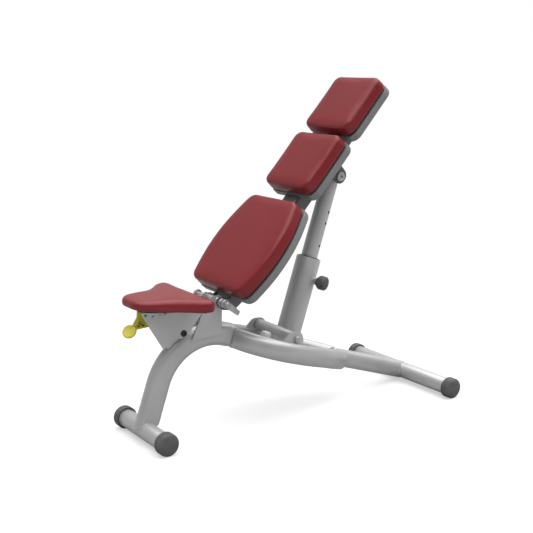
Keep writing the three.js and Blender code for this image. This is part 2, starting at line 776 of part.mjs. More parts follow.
// ---- release lever under the seat's nose ---------------------------------------------------------
const LEVER_HALF = 5;
const leverOutline = [
  [-500, 446, 8],
  [-500, 428, 8],
  [-546, 394, 6],
  [-600, 391, 4],
  [-614, 402, 4],
  [-594, 430, 4],
  [-592, 451],
  [-576, 451],
  [-570, 432, 6],
  [-524, 432, 6],
  [-520, 446, 4],
];
const LEVER_POCKET = [
  [-587, 421, 3],
  [-602, 398, 3],
  [-562, 400, 3],
];
const LEVER_WEB_HALF = 1.5;

// The finger pad is a disc whose face looks up, forwards and to the user's right.
function leverDisc(grow = 0) {
  const radius = 24 + grow;
  const facing = new THREE.Vector3(0.44, -0.6, 0.66).normalize();
  const disc = new THREE.CylinderGeometry(radius, radius, 11 + 2 * grow, 24);
  disc.applyQuaternion(new THREE.Quaternion().setFromUnitVectors(new THREE.Vector3(0, 1, 0), facing));
  return disc.translate(0, -622, 388);
}

const lever = cut(
  sidePlate(leverOutline, -LEVER_HALF, LEVER_HALF),
  crossBar(4.4, -20, 20, LEVER_PIVOT),
  sidePlate(LEVER_POCKET, LEVER_WEB_HALF, 20),
  sidePlate(LEVER_POCKET, -20, -LEVER_WEB_HALF),
  leverDisc(GAP),
);
const bodies = solid(lever).decompose().sort((a, b) => b.volume() - a.volume());
add(bench, "release_lever", geometryOf(bodies[0]), YELLOW_PLASTIC);
add(bench, "lever_disc", leverDisc(), YELLOW_PLASTIC);

export default bench;
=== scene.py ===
"""Looks of the adjustable weight bench: smooth tubes and plates, upholstered pads and moulded covers,
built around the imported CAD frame. Lengths are in millimetres in each piece's own frame, which placed()
turns into metres in the row frame."""

import json
import math

import bmesh
import bpy
import numpy as np
from mathutils import Matrix, Vector
from mathutils.bvhtree import BVHTree


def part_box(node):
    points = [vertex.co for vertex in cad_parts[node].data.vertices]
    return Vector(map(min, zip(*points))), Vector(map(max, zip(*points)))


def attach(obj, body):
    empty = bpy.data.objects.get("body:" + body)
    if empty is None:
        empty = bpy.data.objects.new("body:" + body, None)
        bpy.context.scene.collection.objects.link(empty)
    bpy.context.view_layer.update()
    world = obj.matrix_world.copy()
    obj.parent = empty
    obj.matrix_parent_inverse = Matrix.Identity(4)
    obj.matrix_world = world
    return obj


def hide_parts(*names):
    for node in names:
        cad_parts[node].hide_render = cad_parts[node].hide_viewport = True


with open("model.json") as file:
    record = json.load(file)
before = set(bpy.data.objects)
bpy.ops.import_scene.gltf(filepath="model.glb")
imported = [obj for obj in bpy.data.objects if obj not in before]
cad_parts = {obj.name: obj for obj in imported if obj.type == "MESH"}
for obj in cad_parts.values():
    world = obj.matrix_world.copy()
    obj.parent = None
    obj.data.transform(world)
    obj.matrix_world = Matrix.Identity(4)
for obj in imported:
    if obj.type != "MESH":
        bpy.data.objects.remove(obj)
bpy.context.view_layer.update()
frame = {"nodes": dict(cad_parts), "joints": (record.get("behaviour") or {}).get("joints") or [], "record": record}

MM = 0.001
TO_METRES = Matrix.Scale(MM, 4)
SIDES = (("left", -1), ("right", 1))
WHITE = (1, 1, 1, 1)


# ---- the frames that pieces are drawn in ----
JOINTS = {joint["name"]: joint for joint in frame["joints"]}


def turned(place, angle):
    return Matrix.Translation(Vector(place)) @ Matrix.Rotation(angle, 4, "X")


def middle(node):
    low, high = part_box(node)
    return (low + high) / 2


FRONT_FOOT = middle("front_foot_tube")
REAR_FOOT = middle("rear_foot_tube")
SLOPE_ANGLE = math.radians(18.3)
BENCH = Matrix.Translation((0, (FRONT_FOOT.y + REAR_FOOT.y) / 2, 0))
SLOPE = turned(REAR_FOOT, -SLOPE_ANGLE)
BACK = turned(JOINTS["backrest_tilt"]["pos_m"], -math.radians(JOINTS["backrest_tilt"]["range_deg"][0]))
ALONG_STRUT = JOINTS["strut_slide"]["axis"]
STRUT = turned(JOINTS["strut_swing"]["pos_m"], math.atan2(ALONG_STRUT[2], ALONG_STRUT[1]))


# ---- driving dimensions, as in the CAD ----
FOOT_Y = {"front": -575, "rear": 575}
FOOT_HALF = {"front": 172, "rear": 298}
FOOT_TUBE_R = 31
FOOT_CAP_R = 38.5
FOOT_Z = FOOT_CAP_R
FOOT_CAP_LENGTH = 38

LEG_WIDTH, LEG_DEPTH = 50, 84
LEG_BEND_R = 209
LEG_BEND_Y, LEG_BEND_Z = -325, 123
LEG_RAKE = math.radians(71)
LEG_TAIL = 18
LEG_TOP_Y, LEG_TOP_Z = -262, 368

EYE_HALF_HEIGHT, EYE_HALF_WIDTH = 36, 26
EYE_LINE = [
    (-14, -225), (58, -206), (103, -164), (127, -110), (131, -45),
    (118, 40), (90, 120), (60, 185), (39, 220), (32, 234),
]
EYE_END_SWELLING, EYE_SWELLING_REACH = 4, 150
SPINE_WIDTH, SPINE_HEIGHT = 52, 68
SPINE_START_Y = 216

HINGE = (-305, 452)
PAD_FACE, PAD_THICKNESS, BOARD_THICKNESS, COVER_THICKNESS, GAP = 35, 46, 6, 29, 0.3
BACK_SPINE_HALF, BACK_SPINE_FRONT, BACK_SPINE_REAR, BACK_SPINE_TOP = 42, -25, -85, 905

STRUT_TOP_Y, STRUT_TOP_Z = 631.8, -117.4
STRUT_OFFSET = 52
STRUT_LENGTH = 597.7
STRUT_BARREL_R, STRUT_BARREL_HALF = 22, 112
OUTER_R, OUTER_BORE_R, OUTER_LENGTH = 44.5, 34, 289
INNER_R, INNER_BORE_R, INNER_START = 29.7, 25, 204
HOLE_PITCH, HOLE_R, HOLE_STEPS = 42, 5.5, (0, 1, 3, 5, 6)
PIN_ALONG, PIN_TURN = 212, math.radians(65)

SEAT_PIVOT = (-443, 362)
SEAT_PAD_BOTTOM, SEAT_PAD_THICKNESS = 455, 40
SEAT_NOSE_Y, SEAT_REAR_Y, SEAT_HALF = -630, -389, 173
SEAT_RISE_START, SEAT_RISE = SEAT_NOSE_Y + 110, math.radians(5)
LEVER_PIVOT = (-511, 437)


# ---- materials ----
class Nodes:
    """Makes and links the nodes of one tree."""

    def __init__(self, tree):
        self.tree = tree

    def node(self, kind, operation=None, **inputs):
        made = self.tree.nodes.new("ShaderNode" + kind)
        if operation:
            made.operation = operation
        for key, value in inputs.items():
            made.inputs[key.replace("_", " ")].default_value = value
        return made

    def link(self, source, target):
        self.tree.links.new(source, target)

    def ranged(self, value, low, high, start=0.3, end=0.7, kind="LINEAR"):
        made = self.node("MapRange", From_Min=start, From_Max=end, To_Min=low, To_Max=high)
        made.interpolation_type = kind
        self.link(value, made.inputs["Value"])
        return made.outputs["Result"]

    def product(self, first, second):
        made = self.node("Math", "MULTIPLY")
        self.link(first, made.inputs[0])
        self.link(second, made.inputs[1])
        return made.outputs["Value"]

    def mixed(self, share, first, second):
        """The first shader at a share of 0, the second at a share of 1."""
        made = self.node("MixShader")
        for source, socket in zip((share, first, second), made.inputs):
            self.link(source, socket)
        return made.outputs["Shader"]


class Shader(Nodes):
    """A Principled material whose colour, roughness and bump come from procedural noise."""

    def __init__(self, name, roughness, metallic=0.0, coat=0.0, specular=0.5):
        self.material = bpy.data.materials.new(name)
        self.material.use_nodes = True
        super().__init__(self.material.node_tree)
        self.principled = self.tree.nodes["Principled BSDF"]
        values = {
            "Metallic": metallic, "Roughness": roughness, "Specular IOR Level": specular,
            "Coat Weight": coat, "Coat Roughness": 0.25,
        }
        for key, value in values.items():
            self.principled.inputs[key].default_value = value
        self.place = self.node("TexCoord").outputs["Object"]
        self.normal = None

    def stretched(self, scale):
        mapping = self.node("Mapping", Scale=scale)
        self.link(self.place, mapping.inputs["Vector"])
        return mapping.outputs["Vector"]

    def noise(self, scale, detail=4.0, vector=None):
        made = self.node("TexNoise", Scale=scale, Detail=detail)
        self.link(vector or self.place, made.inputs["Vector"])
        return made.outputs["Fac"]

    def cells(self, scale, feature="F1"):
        made = self.node("TexVoronoi", Scale=scale)
        made.feature = feature
        self.link(self.place, made.inputs["Vector"])
        return made.outputs["Distance"]

    def blend(self, value, first, second):
        """A colour that goes from first to second, each a colour or an output, with value."""
        made = self.node("Mix")
        made.data_type = "RGBA"
        self.link(value, made.inputs["Factor"])
        for socket, colour in ((made.inputs["A"], first), (made.inputs["B"], second)):
            if isinstance(colour, tuple):
                socket.default_value = (*colour, 1)
            else:
                self.link(colour, socket)
        return made.outputs["Result"]

    def bump(self, height, distance, strength):
        made = self.node("Bump", Strength=strength, Distance=distance)
        self.link(height, made.inputs["Height"])
        if self.normal:
            self.link(self.normal, made.inputs["Normal"])
        self.normal = made.outputs["Normal"]

    def finish(self, colour, roughness):
        self.link(colour, self.principled.inputs["Base Color"])
        self.link(roughness, self.principled.inputs["Roughness"])
        if self.normal:
            self.link(self.normal, self.principled.inputs["Normal"])
        return self.material


def mottled(shader, scale, dark, light):
    return shader.blend(shader.ranged(shader.noise(scale), 0, 1), dark, light)


def worn(shader, colour, bare, share=0.35):
    """Colour with a little of the bare one along sharp edges."""
    pointiness = shader.node("NewGeometry").outputs["Pointiness"]
    edge = shader.ranged(pointiness, 0.0, share, 0.52, 0.62)
    return shader.blend(edge, colour, bare)


def powder_coat(name, light, dark, metallic):
    shader = Shader(name, 0.4, metallic=metallic, coat=0.12)
    bare = tuple(min(1.0, 1.25 * v) for v in light)
    colour = worn(shader, mottled(shader, 9, dark, light), bare)
    shader.bump(shader.noise(900, 2), 0.0002, 0.25)
    shader.bump(shader.noise(60, 2), 0.0004, 0.12)
    return shader.finish(colour, shader.ranged(shader.noise(25), 0.30, 0.42))


def upholstery():
    shader = Shader("upholstery_vinyl", 0.34, coat=0.02, specular=0.32)
    red = mottled(shader, 7, (0.178, 0.012, 0.015), (0.198, 0.016, 0.019))
    grain = shader.cells(620)
    grain_crease_shade = shader.cells(620, "DISTANCE_TO_EDGE")
    # Darker red in the creases between the grain's cells: painted shade.
    colour = shader.blend(shader.ranged(grain_crease_shade, 0.35, 0, 0.0, 0.12), red, (0.11, 0.011, 0.013))
    shader.bump(shader.noise(45, 3), 0.0006, 0.06)
    shader.bump(grain, 0.00025, 0.25)
    return shader.finish(colour, shader.ranged(shader.noise(30), 0.30, 0.38))


def moulded(name, light, dark, roughness, coat=0.0):
    shader = Shader(name, roughness, coat=coat, specular=0.4)
    bare = tuple(min(1.0, 1.3 * v + 0.01) for v in light)
    colour = worn(shader, mottled(shader, 14, dark, light), bare, 0.5)
    shader.bump(shader.noise(700, 3), 0.0003, 0.30)
    return shader.finish(colour, shader.ranged(shader.noise(40), roughness - 0.06, roughness + 0.08))


def rubber(name, light, dark):
    shader = Shader(name, 0.62, specular=0.35)
    scuffs = shader.noise(22, 6, shader.stretched((1, 1, 3)))
    colour = shader.blend(shader.ranged(scuffs, 0, 1, 0.35, 0.75), dark, light)
    shader.bump(shader.noise(500, 4), 0.0004, 0.35)
    return shader.finish(colour, shader.ranged(shader.noise(50), 0.52, 0.72))


def plated_steel(name, light, dark):
    shader = Shader(name, 0.4, metallic=0.65)
    turning = shader.noise(55, 5, shader.stretched((22, 1, 1)))
    colour = shader.blend(shader.ranged(turning, 0, 1), dark, light)
    shader.bump(turning, 0.0002, 0.20)
    return shader.finish(colour, shader.ranged(shader.noise(35), 0.34, 0.50))


SLOTS = {
    "frame_paint": powder_coat("frame_powder_coat", (0.46, 0.461, 0.463), (0.42, 0.421, 0.424), 0.40),
    "dark_paint": powder_coat("dark_powder_coat", (0.105, 0.11, 0.109), (0.085, 0.09, 0.089), 0.2),
    "vinyl": upholstery(),
    "cover_plastic": moulded("cover_plastic", (0.190, 0.196, 0.194), (0.165, 0.171, 0.169), 0.5),
    "black_plastic": moulded("black_plastic", (0.018, 0.018, 0.019), (0.012, 0.012, 0.013), 0.55),
    "yellow_plastic": moulded("yellow_plastic", (0.58, 0.51, 0.046), (0.52, 0.46, 0.036), 0.36, 0.1),
    "foot_rubber": rubber("foot_rubber", (0.105, 0.105, 0.105), (0.070, 0.070, 0.071)),
    "bumper_rubber": rubber("bumper_rubber", (0.78, 0.78, 0.75), (0.66, 0.66, 0.62)),
    "steel": plated_steel("plated_steel", (0.50, 0.504, 0.51), (0.38, 0.384, 0.39)),
}


# ---- outlines and solids, in millimetres ----
def filleted(corners, steps):
    """The closed outline through corners (a, b, radius), each rounded by an arc."""
    points = []
    for i, (a, b, radius) in enumerate(corners):
        here = Vector((a, b))
        before = (Vector(corners[i - 1][:2]) - here).normalized()
        after = (Vector(corners[(i + 1) % len(corners)][:2]) - here).normalized()
        if radius == 0:
            points.append(here)
            continue
        half = before.angle(after) / 2
        centre = here + (before + after).normalized() * radius / math.sin(half)
        start = here + before * radius / math.tan(half) - centre
        end = here + after * radius / math.tan(half) - centre
        sweep = math.atan2(start.cross(end), start.dot(end))
        for k in range(steps + 1):
            angle = sweep * k / steps
            cos, sin = math.cos(angle), math.sin(angle)
            points.append(centre + Vector((start.x * cos - start.y * sin, start.x * sin + start.y * cos)))
    return points


def spline(points, steps):
    """A Catmull-Rom curve through 2D points."""
    points = [Vector(p) for p in points]
    ends = [2 * points[0] - points[1], *points, 2 * points[-1] - points[-2]]
    curve = []
    for p0, p1, p2, p3 in zip(ends, ends[1:], ends[2:], ends[3:]):
        for k in range(steps):
            t = k / steps
            curve.append(
                0.5 * (2 * p1 + (p2 - p0) * t + (2 * p0 - 5 * p1 + 4 * p2 - p3) * t**2
                       + (3 * p1 - p0 - 3 * p2 + p3) * t**3)
            )
    curve.append(points[-1])
    return curve


def evened(outline, spacing):
    """The same closed outline with points a fixed distance apart."""
    following = [*outline[1:], outline[0]]
    lengths = [(end - start).length for start, end in zip(outline, following)]
    total = sum(lengths)
    wanted = max(8, round(total / spacing))
    points, i, passed = [], 0, 0.0
    for k in range(wanted):
        at = total * k / wanted
        while passed + lengths[i] < at:
            passed += lengths[i]
            i += 1
        points.append(outline[i].lerp(following[i], (at - passed) / max(lengths[i], 1e-9)))
    return points


def inset(outline, distance):
    """A closed outline moved inwards along its normals."""
    count = len(outline)
    area = sum(outline[i - 1].cross(outline[i]) for i in range(count))
    sign = 1 if area > 0 else -1
    moved = []
    for i in range(count):
        along = (outline[(i + 1) % count] - outline[i - 1]).normalized()
        moved.append(outline[i] + sign * distance * Vector((-along.y, along.x)))
    return moved


def skinned(rings, ends=True, loop=False):
    """A bmesh of quads between rings of equal length."""
    shape = bmesh.new()
    rows = [[shape.verts.new(point) for point in ring] for ring in rings]
    pairs = list(zip(rows, rows[1:])) + ([(rows[-1], rows[0])] if loop else [])
    for row, following in pairs:
        for j in range(len(row)):
            shape.faces.new((row[j - 1], row[j], following[j], following[j - 1]))
    if ends and not loop:
        shape.faces.new(rows[0])
        shape.faces.new(reversed(rows[-1]))
    bmesh.ops.remove_doubles(shape, verts=shape.verts, dist=1e-4)
    bmesh.ops.recalc_face_normals(shape, faces=shape.faces)
    return shape


def round_angles(count):
    return [2 * math.pi * k / count for k in range(count)]


def ray(angle):
    return Vector((math.cos(angle), math.sin(angle)))


def lathed(profile, segments=56, loop=False, centre=(0, 0), start=0):
    """A solid turned about X through centre (y, z), from a profile of (distance from start, radius)."""
    y, z = centre
    turns = round_angles(segments)
    rings = []
    for along, radius in profile:
        x = start + along
        rings.append([(x, y + radius * math.cos(a), z + radius * math.sin(a)) for a in turns])
    open_ended = profile[0][1] > 0 and profile[-1][1] > 0 and not loop
    return skinned(rings, ends=open_ended, loop=loop)


def bar_profile(radius, bore, start, end, edge):
    """A round bar's profile, from its bore at one end to its bore at the other, with rounded rims."""
    rim = radius - 0.3 * edge
    return [
        (start, bore), (start, radius - edge), (start + 0.3 * edge, rim), (start + edge, radius),
        (end - edge, radius), (end - 0.3 * edge, rim), (end, radius - edge), (end, bore),
    ]


def rod(radius, start, end, centre=(0, 0), edge=1.2, segments=48):
    """A solid round bar along X."""
    return lathed(bar_profile(radius, 0, start, end, edge), segments, centre=centre)


def collar(radius, bore, start, end, centre=(0, 0), edge=1.0, segments=48):
    """A round bar along X with a bore through it."""
    return lathed(bar_profile(radius, bore, start, end, edge), segments, loop=True, centre=centre)


def plate(outline, start, end, edge=0.8):
    """A plate with its outline in the YZ plane, between two X positions, with rounded rims."""
    shape = bmesh.new()
    low = [shape.verts.new((start, y, z)) for y, z in outline]
    high = [shape.verts.new((end, y, z)) for y, z in outline]
    faces = [shape.faces.new(low), shape.faces.new(reversed(high))]
    for j in range(len(low)):
        shape.faces.new((low[j - 1], high[j - 1], high[j], low[j]))
    bmesh.ops.recalc_face_normals(shape, faces=shape.faces)
    rims = {rim for face in faces for rim in face.edges}
    bmesh.ops.bevel(shape, geom=list(rims), offset=edge, segments=2, affect="EDGES", clamp_overlap=True)
    return shape


def slab(outline, levels):
    """A solid of stacked outlines in the XY plane: each level is (inset, z)."""
    rings = [[(p.x, p.y, z) for p in inset(outline, amount)] for amount, z in levels]
    return skinned(rings)


def rounded_levels(bottom, top, lower_round, upper_round, steps=5):
    """Levels of a slab whose two rims are quarter rounds."""
    turns = [math.pi / 2 * k / steps for k in range(steps + 1)]
    lower = [(lower_round * (1 - math.sin(a)), bottom + lower_round * (1 - math.cos(a))) for a in turns]
    upper = [(upper_round * (1 - math.cos(a)), top - upper_round * (1 - math.sin(a))) for a in turns]
    return lower + upper


def flat_oval(across, along, arc_steps=14):
    """A section with two straight sides and two round ends, as (x, v) points."""
    radius = across / 2
    straight = along / 2 - radius
    points = []
    for centre, turn in ((straight, 0), (-straight, math.pi)):
        for k in range(arc_steps + 1):
            angle = turn + math.pi * k / arc_steps
            points.append((radius * math.cos(angle), centre + radius * math.sin(angle)))
    return points


def stepped(line):
    """Each point of a line with the direction of the line there."""
    befores, afters = [line[0], *line[:-1]], [*line[1:], line[-1]]
    return [(point, (after - before).normalized()) for before, point, after in zip(befores, line, afters)]


def bent_tube(section, line):
    """A tube whose centreline lies in the YZ plane. Section points are (x, outwards)."""
    rings = []
    for point, along in stepped(line):
        outwards = Vector((-along.y, along.x))
        rings.append([(x, *(point + v * outwards)) for x, v in section])
    return rings


# ---- pieces ----
def as_mesh(name, shape):
    """The bmesh as a mesh; the bmesh is freed."""
    mesh = bpy.data.meshes.new(name)
    shape.to_mesh(mesh)
    shape.free()
    return mesh


def added(name, data):
    """A new object in the scene."""
    thing = bpy.data.objects.new(name, data)
    bpy.context.scene.collection.objects.link(thing)
    return thing


def placed(name, shape, place, body, slot, stands_for=(), sharp=35):
    """Turns a bmesh in millimetres into a piece in the row frame that rides on a body."""
    shape.transform(place @ TO_METRES)
    return as_piece(name, as_mesh(name, shape), body, slot, sharp, stands_for)


def as_piece(name, mesh, body, slot, sharp, stands_for=()):
    mesh.polygons.foreach_set("use_smooth", [True] * len(mesh.polygons))
    mesh.set_sharp_from_angle(angle=math.radians(sharp))
    mesh.materials.clear()
    mesh.materials.append(SLOTS[slot])
    piece = added(name, mesh)
    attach(piece, body)
    if stands_for:
        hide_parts(*stands_for)
    return piece


def stand_in(node, shape, place, sharp=35):
    """A finished piece for one CAD node, on its body and in its material slot."""
    return placed(node + "_finished", shape, place, BODY_OF[node], SLOT_OF[node], (node,), sharp)


BODY_OF = {n: b for b, nodes in frame["record"]["behaviour"]["bodies"].items() for n in nodes}
SLOT_OF = {part["node"]: part["material_slot"] for part in frame["record"]["subparts"]}
for node, thing in frame["nodes"].items():
    thing.data.materials.clear()
    thing.data.materials.append(SLOTS[SLOT_OF[node]])


def joined(*shapes):
    """One bmesh of them all; the shapes are freed."""
    whole = bmesh.new()
    for shape in shapes:
        mesh = as_mesh("part", shape)
        whole.from_mesh(mesh)
        bpy.data.meshes.remove(mesh)
    return whole


def mirrored(shape):
    shape.transform(Matrix.Scale(-1, 4, (1, 0, 0)))
    bmesh.ops.reverse_faces(shape, faces=shape.faces)
    return shape


def on_side(side, shape):
    """The shape as it is on the right, and mirrored on the left."""
    return shape if side > 0 else mirrored(shape)


def plate_pair(node, outline, inner, outer, place, edge=1.2):
    """The left and the right plate of a pair, between two distances from the middle."""
    for name, side in SIDES:
        stand_in(f"{node}_{name}", on_side(side, plate(outline, inner, outer, edge)), place)


def cut_out(name, shape, tools):
    """The shape less the tools, all bmeshes in one frame."""
    target = added(name, as_mesh(name, shape))
    helpers = []
    for tool in tools:
        helper = added("tool", as_mesh("tool", tool))
        cutter = target.modifiers.new("cut", "BOOLEAN")
        cutter.operation = "DIFFERENCE"
        cutter.solver = "EXACT"
        cutter.object = helper
        helpers.append(helper)
    graph = bpy.context.evaluated_depsgraph_get()
    result = bmesh.new()
    result.from_mesh(target.evaluated_get(graph).to_mesh())
    for used in (target, *helpers):
        bpy.data.objects.remove(used)
    return result


# ---- weld beads, found where the lines along a tube meet another piece ----
def surface_of(piece):
    shape = bmesh.new()
    shape.from_mesh(piece.data)
    tree = BVHTree.FromBMesh(shape)
    shape.free()
    return tree


def entry(tree, line):
    """Where a line of points first enters a surface, or None."""
    for start, end in zip(line, line[1:]):
        step = end - start
        found = tree.ray_cast(start, step.normalized(), step.length)[0] if step.length > 1e-7 else None
        if found is not None:
            return found
    return None


def weld(name, rings, place, onto, body, radius=3.0):
    """A bead through the points where the lines along a tube, given by its rings, enter a piece."""
    tree = surface_of(onto)
    hits = [entry(tree, line) for line in long_lines(rings, place)]
    runs, run = [], []
    first_gap = next((i for i, hit in enumerate(hits) if hit is None), None)
    if first_gap is None:
        runs.append((hits, True))
    else:
        # once round, from one gap to the same gap
        for hit in [*hits[first_gap:], *hits[:first_gap + 1]]:
            if hit is None:
                if len(run) > 2:
                    runs.append((run, False))
                run = []
            else:
                run.append(hit)
    if not runs:
        return
    beads = joined(*(bead(points, closed, radius * MM) for points, closed in runs))
    as_piece(name, as_mesh(name, beads), body, "frame_paint", 80)


def bead(points, closed, radius, sides=10, ripple=0.12):
    """A rippled bead along points in metres."""
    spaced = []
    following = [*points[1:], points[0]] if closed else points[1:]
    for start, end in zip(points, following):
        pieces = max(1, round((end - start).length / (1.6 * MM)))
        spaced += [start.lerp(end, k / pieces) for k in range(pieces)]
    if not closed:
        spaced.append(points[-1])
    rings = []
    total = len(spaced)
    up = Vector((0.3, 0.5, 0.8)).normalized()
    for i, point in enumerate(spaced):
        before = spaced[i - 1] if closed or i > 0 else point
        after = spaced[(i + 1) % total] if closed or i + 1 < total else point
        along = (after - before).normalized()
        side = along.cross(up).normalized()
        top = side.cross(along)
        size = radius * (1 + ripple * math.sin(i * 1.9))
        rings.append([point + size * (side * math.cos(a) + top * math.sin(a)) for a in round_angles(sides)])
    return skinned(rings, ends=not closed, loop=closed)


def long_lines(rings, place):
    """The lines along a tube, one for each point of its rings, in metres in the row frame."""
    to_row = place @ TO_METRES
    return zip(*([to_row @ Vector(point) for point in ring] for ring in rings))


# ---- feet ----
def foot_cap(half, side):
    """A thick-walled rubber cap over the tube's end, with a softly domed face."""
    outer, lip, floor, dome = FOOT_CAP_R, FOOT_TUBE_R + 0.1, -14, 15
    profile = [
        (floor, 0), (floor, lip), (-FOOT_CAP_LENGTH, lip), (-FOOT_CAP_LENGTH, outer - 1.6),
        (0.6 - FOOT_CAP_LENGTH, outer - 0.5), (2 - FOOT_CAP_LENGTH, outer),
    ]
    steps, squareness = 18, 2.8
    for k in range(steps + 1):
        share = k / steps
        profile.append((dome * (share - 1), outer * (1 - share**squareness) ** (1 / squareness)))
    return on_side(side, lathed(profile, 72, start=half))


foot_tubes = {}
for end, y in FOOT_Y.items():
    centre = (y, FOOT_Z)
    half = FOOT_HALF[end]
    tube_half = half - 12
    shape = rod(FOOT_TUBE_R, -tube_half, tube_half, centre, segments=72)
    foot_tubes[end] = stand_in(f"{end}_foot_tube", shape, BENCH)
    for name, side in SIDES:
        cap = foot_cap(half, side)
        cap.transform(Matrix.Translation((0, *centre)))
        stand_in(f"{end}_foot_cap_{name}", cap, BENCH)


# ---- leg ----
def leg_line():
    centre = Vector((LEG_BEND_Y, LEG_BEND_Z))
    start, end = math.pi / 2 + LEG_RAKE, math.pi / 2 - SLOPE_ANGLE
    steps = 44
    bend = []
    for k in range(steps + 1):
        angle = start + (end - start) * k / steps
        bend.append(centre + LEG_BEND_R * ray(angle))
    foot = bend[0] - ray(LEG_RAKE) * (bend[0].y - FOOT_Z) / math.sin(LEG_RAKE)
    tail = bend[-1] + LEG_TAIL * ray(-SLOPE_ANGLE)
    straight = [foot.lerp(bend[0], k / 16) for k in range(16)]
    return [*straight, *bend, tail]


def leg_rings():
    """The leg's sections, pressed flatter on top towards the eye and level at the foot."""
    fall = math.tan(SLOPE_ANGLE)
    rings = []
    for ring in bent_tube(flat_oval(LEG_WIDTH, LEG_DEPTH), leg_line()):
        pressed = []
        for x, y, z in ring:
            ceiling = LEG_TOP_Z - (y - LEG_TOP_Y) * fall - 0.012 * x * x
            pressed.append((x, y, max(min(z, ceiling), FOOT_Z + 14)))
        rings.append(pressed)
    return rings


LEG_RINGS = leg_rings()
leg = stand_in("leg_tube", skinned(LEG_RINGS), BENCH, sharp=50)
weld("weld_leg_foot", LEG_RINGS[::-1], BENCH, foot_tubes["front"], "frame")


# ---- eye and rear spine ----
def slope_y(y):
    return (y - FOOT_Y["rear"]) / math.cos(SLOPE_ANGLE)


def eye_section(point, along, share, swelling):
    """An oval across the eye tube, slightly flat-sided; swelling makes it fuller and lower."""
    across = Vector((along.y, -along.x))
    ring = []
    for angle in round_angles(40):
        cos, sin = math.cos(angle), math.sin(angle)
        wide = math.copysign(abs(cos) ** 0.86, cos) * (EYE_HALF_WIDTH + 0.5 * swelling) * share
        high = math.copysign(abs(sin) ** 0.94, sin) * (EYE_HALF_HEIGHT + 0.6 * swelling) * share
        ring.append((*(point + across * wide), high - 0.7 * swelling))
    return ring


def eye_rings(side):
    line = spline([(side * x, slope_y(y)) for x, y in EYE_LINE], 9)
    rings = []
    for point, along in stepped(line):
        swelling = EYE_END_SWELLING * max(0, 1 - (line[-1] - point).length / EYE_SWELLING_REACH)
        rings.append(eye_section(point, along, 1, swelling))
    end_steps = 8
    for k in range(1, end_steps + 1):
        angle = math.pi / 2 * k / end_steps
        point = line[-1] + along * (EYE_HALF_WIDTH + EYE_END_SWELLING) * math.sin(angle)
        rings.append(eye_section(point, along, max(math.cos(angle), 0.02), EYE_END_SWELLING))
    return rings


eye_tubes = {}
for name, side in SIDES:
    rings = eye_rings(side)
    eye_tubes[name] = stand_in(f"eye_tube_{name}", skinned(rings), SLOPE, sharp=60)
    towards_leg = rings[:40][::-1]
    weld(f"weld_eye_leg_{name}", towards_leg, SLOPE, leg, "frame", 2.6)


def rear_spine_rings():
    """Sections from the rounded end inside the eye down to the rear foot."""
    start, steps = slope_y(SPINE_START_Y), 24
    stations = [(start - 3, 0.86), (start - 1, 0.97)]
    stations += [(start * (1 - k / steps), 1) for k in range(steps + 1)]
    section = flat_oval(SPINE_WIDTH, SPINE_HEIGHT)
    return [[(share * x, y, share * v) for x, v in section] for y, share in stations]


SPINE_RINGS = rear_spine_rings()
stand_in("rear_spine_tube", skinned(SPINE_RINGS), SLOPE, sharp=50)
TOWARDS_FOOT, TOWARDS_EYE = SPINE_RINGS[4:], SPINE_RINGS[12::-1]
weld("weld_spine_foot", TOWARDS_FOOT, SLOPE, foot_tubes["rear"], "frame")
for name, eye_tube in eye_tubes.items():
    weld(f"weld_spine_eye_{name}", TOWARDS_EYE, SLOPE, eye_tube, "frame", 2.4)


# ---- hinge bracket and barrel ----
BRACKET = [(-409, 326, 5), (-352, 444, 22), (-328, 471, 14), (-285, 469, 14), (-289, 334, 3)]
BRACKET_INNER, PLATE = LEG_WIDTH / 2 + 0.3, 6
plate_pair("hinge_bracket", filleted(BRACKET, 10), BRACKET_INNER, BRACKET_INNER + PLATE, BENCH, 1.0)
HINGE_BARREL_R, HINGE_BARREL_BORE_R, HINGE_BARREL_HALF = 13.5, 9.6, 42
barrel = collar(HINGE_BARREL_R, HINGE_BARREL_BORE_R, -HINGE_BARREL_HALF, HINGE_BARREL_HALF, HINGE)
stand_in("hinge_barrel", barrel, BENCH)
SEAT_BUSH_R, SEAT_BUSH_BORE_R, SEAT_BUSH_HALF = 12, 7.1, 34.5
bush = collar(SEAT_BUSH_R, SEAT_BUSH_BORE_R, -SEAT_BUSH_HALF, SEAT_BUSH_HALF, SEAT_PIVOT)
stand_in("seat_pivot_bush", bush, BENCH)


# ---- strut mounting ----
def strut_base():
    half, front, rear = 112, slope_y(-114), slope_y(-76)
    outline = [Vector((-half, front)), Vector((half, front)), Vector((half, rear)), Vector((-half, rear))]
    return slab(outline, [(1, 2), (0, 3), (0, 9), (1, 10)])


stand_in("strut_base_plate", strut_base(), SLOPE)
TO_Z = Matrix.Rotation(-math.pi / 2, 4, "Y")
TO_Y = Matrix.Rotation(math.pi / 2, 4, "Z")
BUMPER_Y = -94


def bumper():
    profile = [
        (10, 0), (10, 17.5), (36, 17.5), (40, 16.6), (42.6, 14.4), (43.8, 11), (44, 6), (43, 4), (43, 0),
    ]
    shape = lathed(profile)
    shape.transform(Matrix.Translation((0, slope_y(BUMPER_Y), 0)) @ TO_Z)
    return shape


stand_in("strut_bumper", bumper(), SLOPE)

STRUT_BASE = (-37, 294)
EAR_INNER, EAR = STRUT_BARREL_HALF + 1, 8
EAR_OUTLINE = [(-100, 252, 0), (-100, 288, 8), (-62, 322, 30), (-8, 318, 26), (-4, 226, 0)]
EAR_OUTER = EAR_INNER + EAR
plate_pair("strut_ear", filleted(EAR_OUTLINE, 12), EAR_INNER, EAR_OUTER, BENCH)


PIVOT_BOLT_R, WASHER_R = 8, 14.5
HEXAGON = [(1.8, 0), (1.8, 12), (7.4, 12), (9, 10.08), (9, 0)]


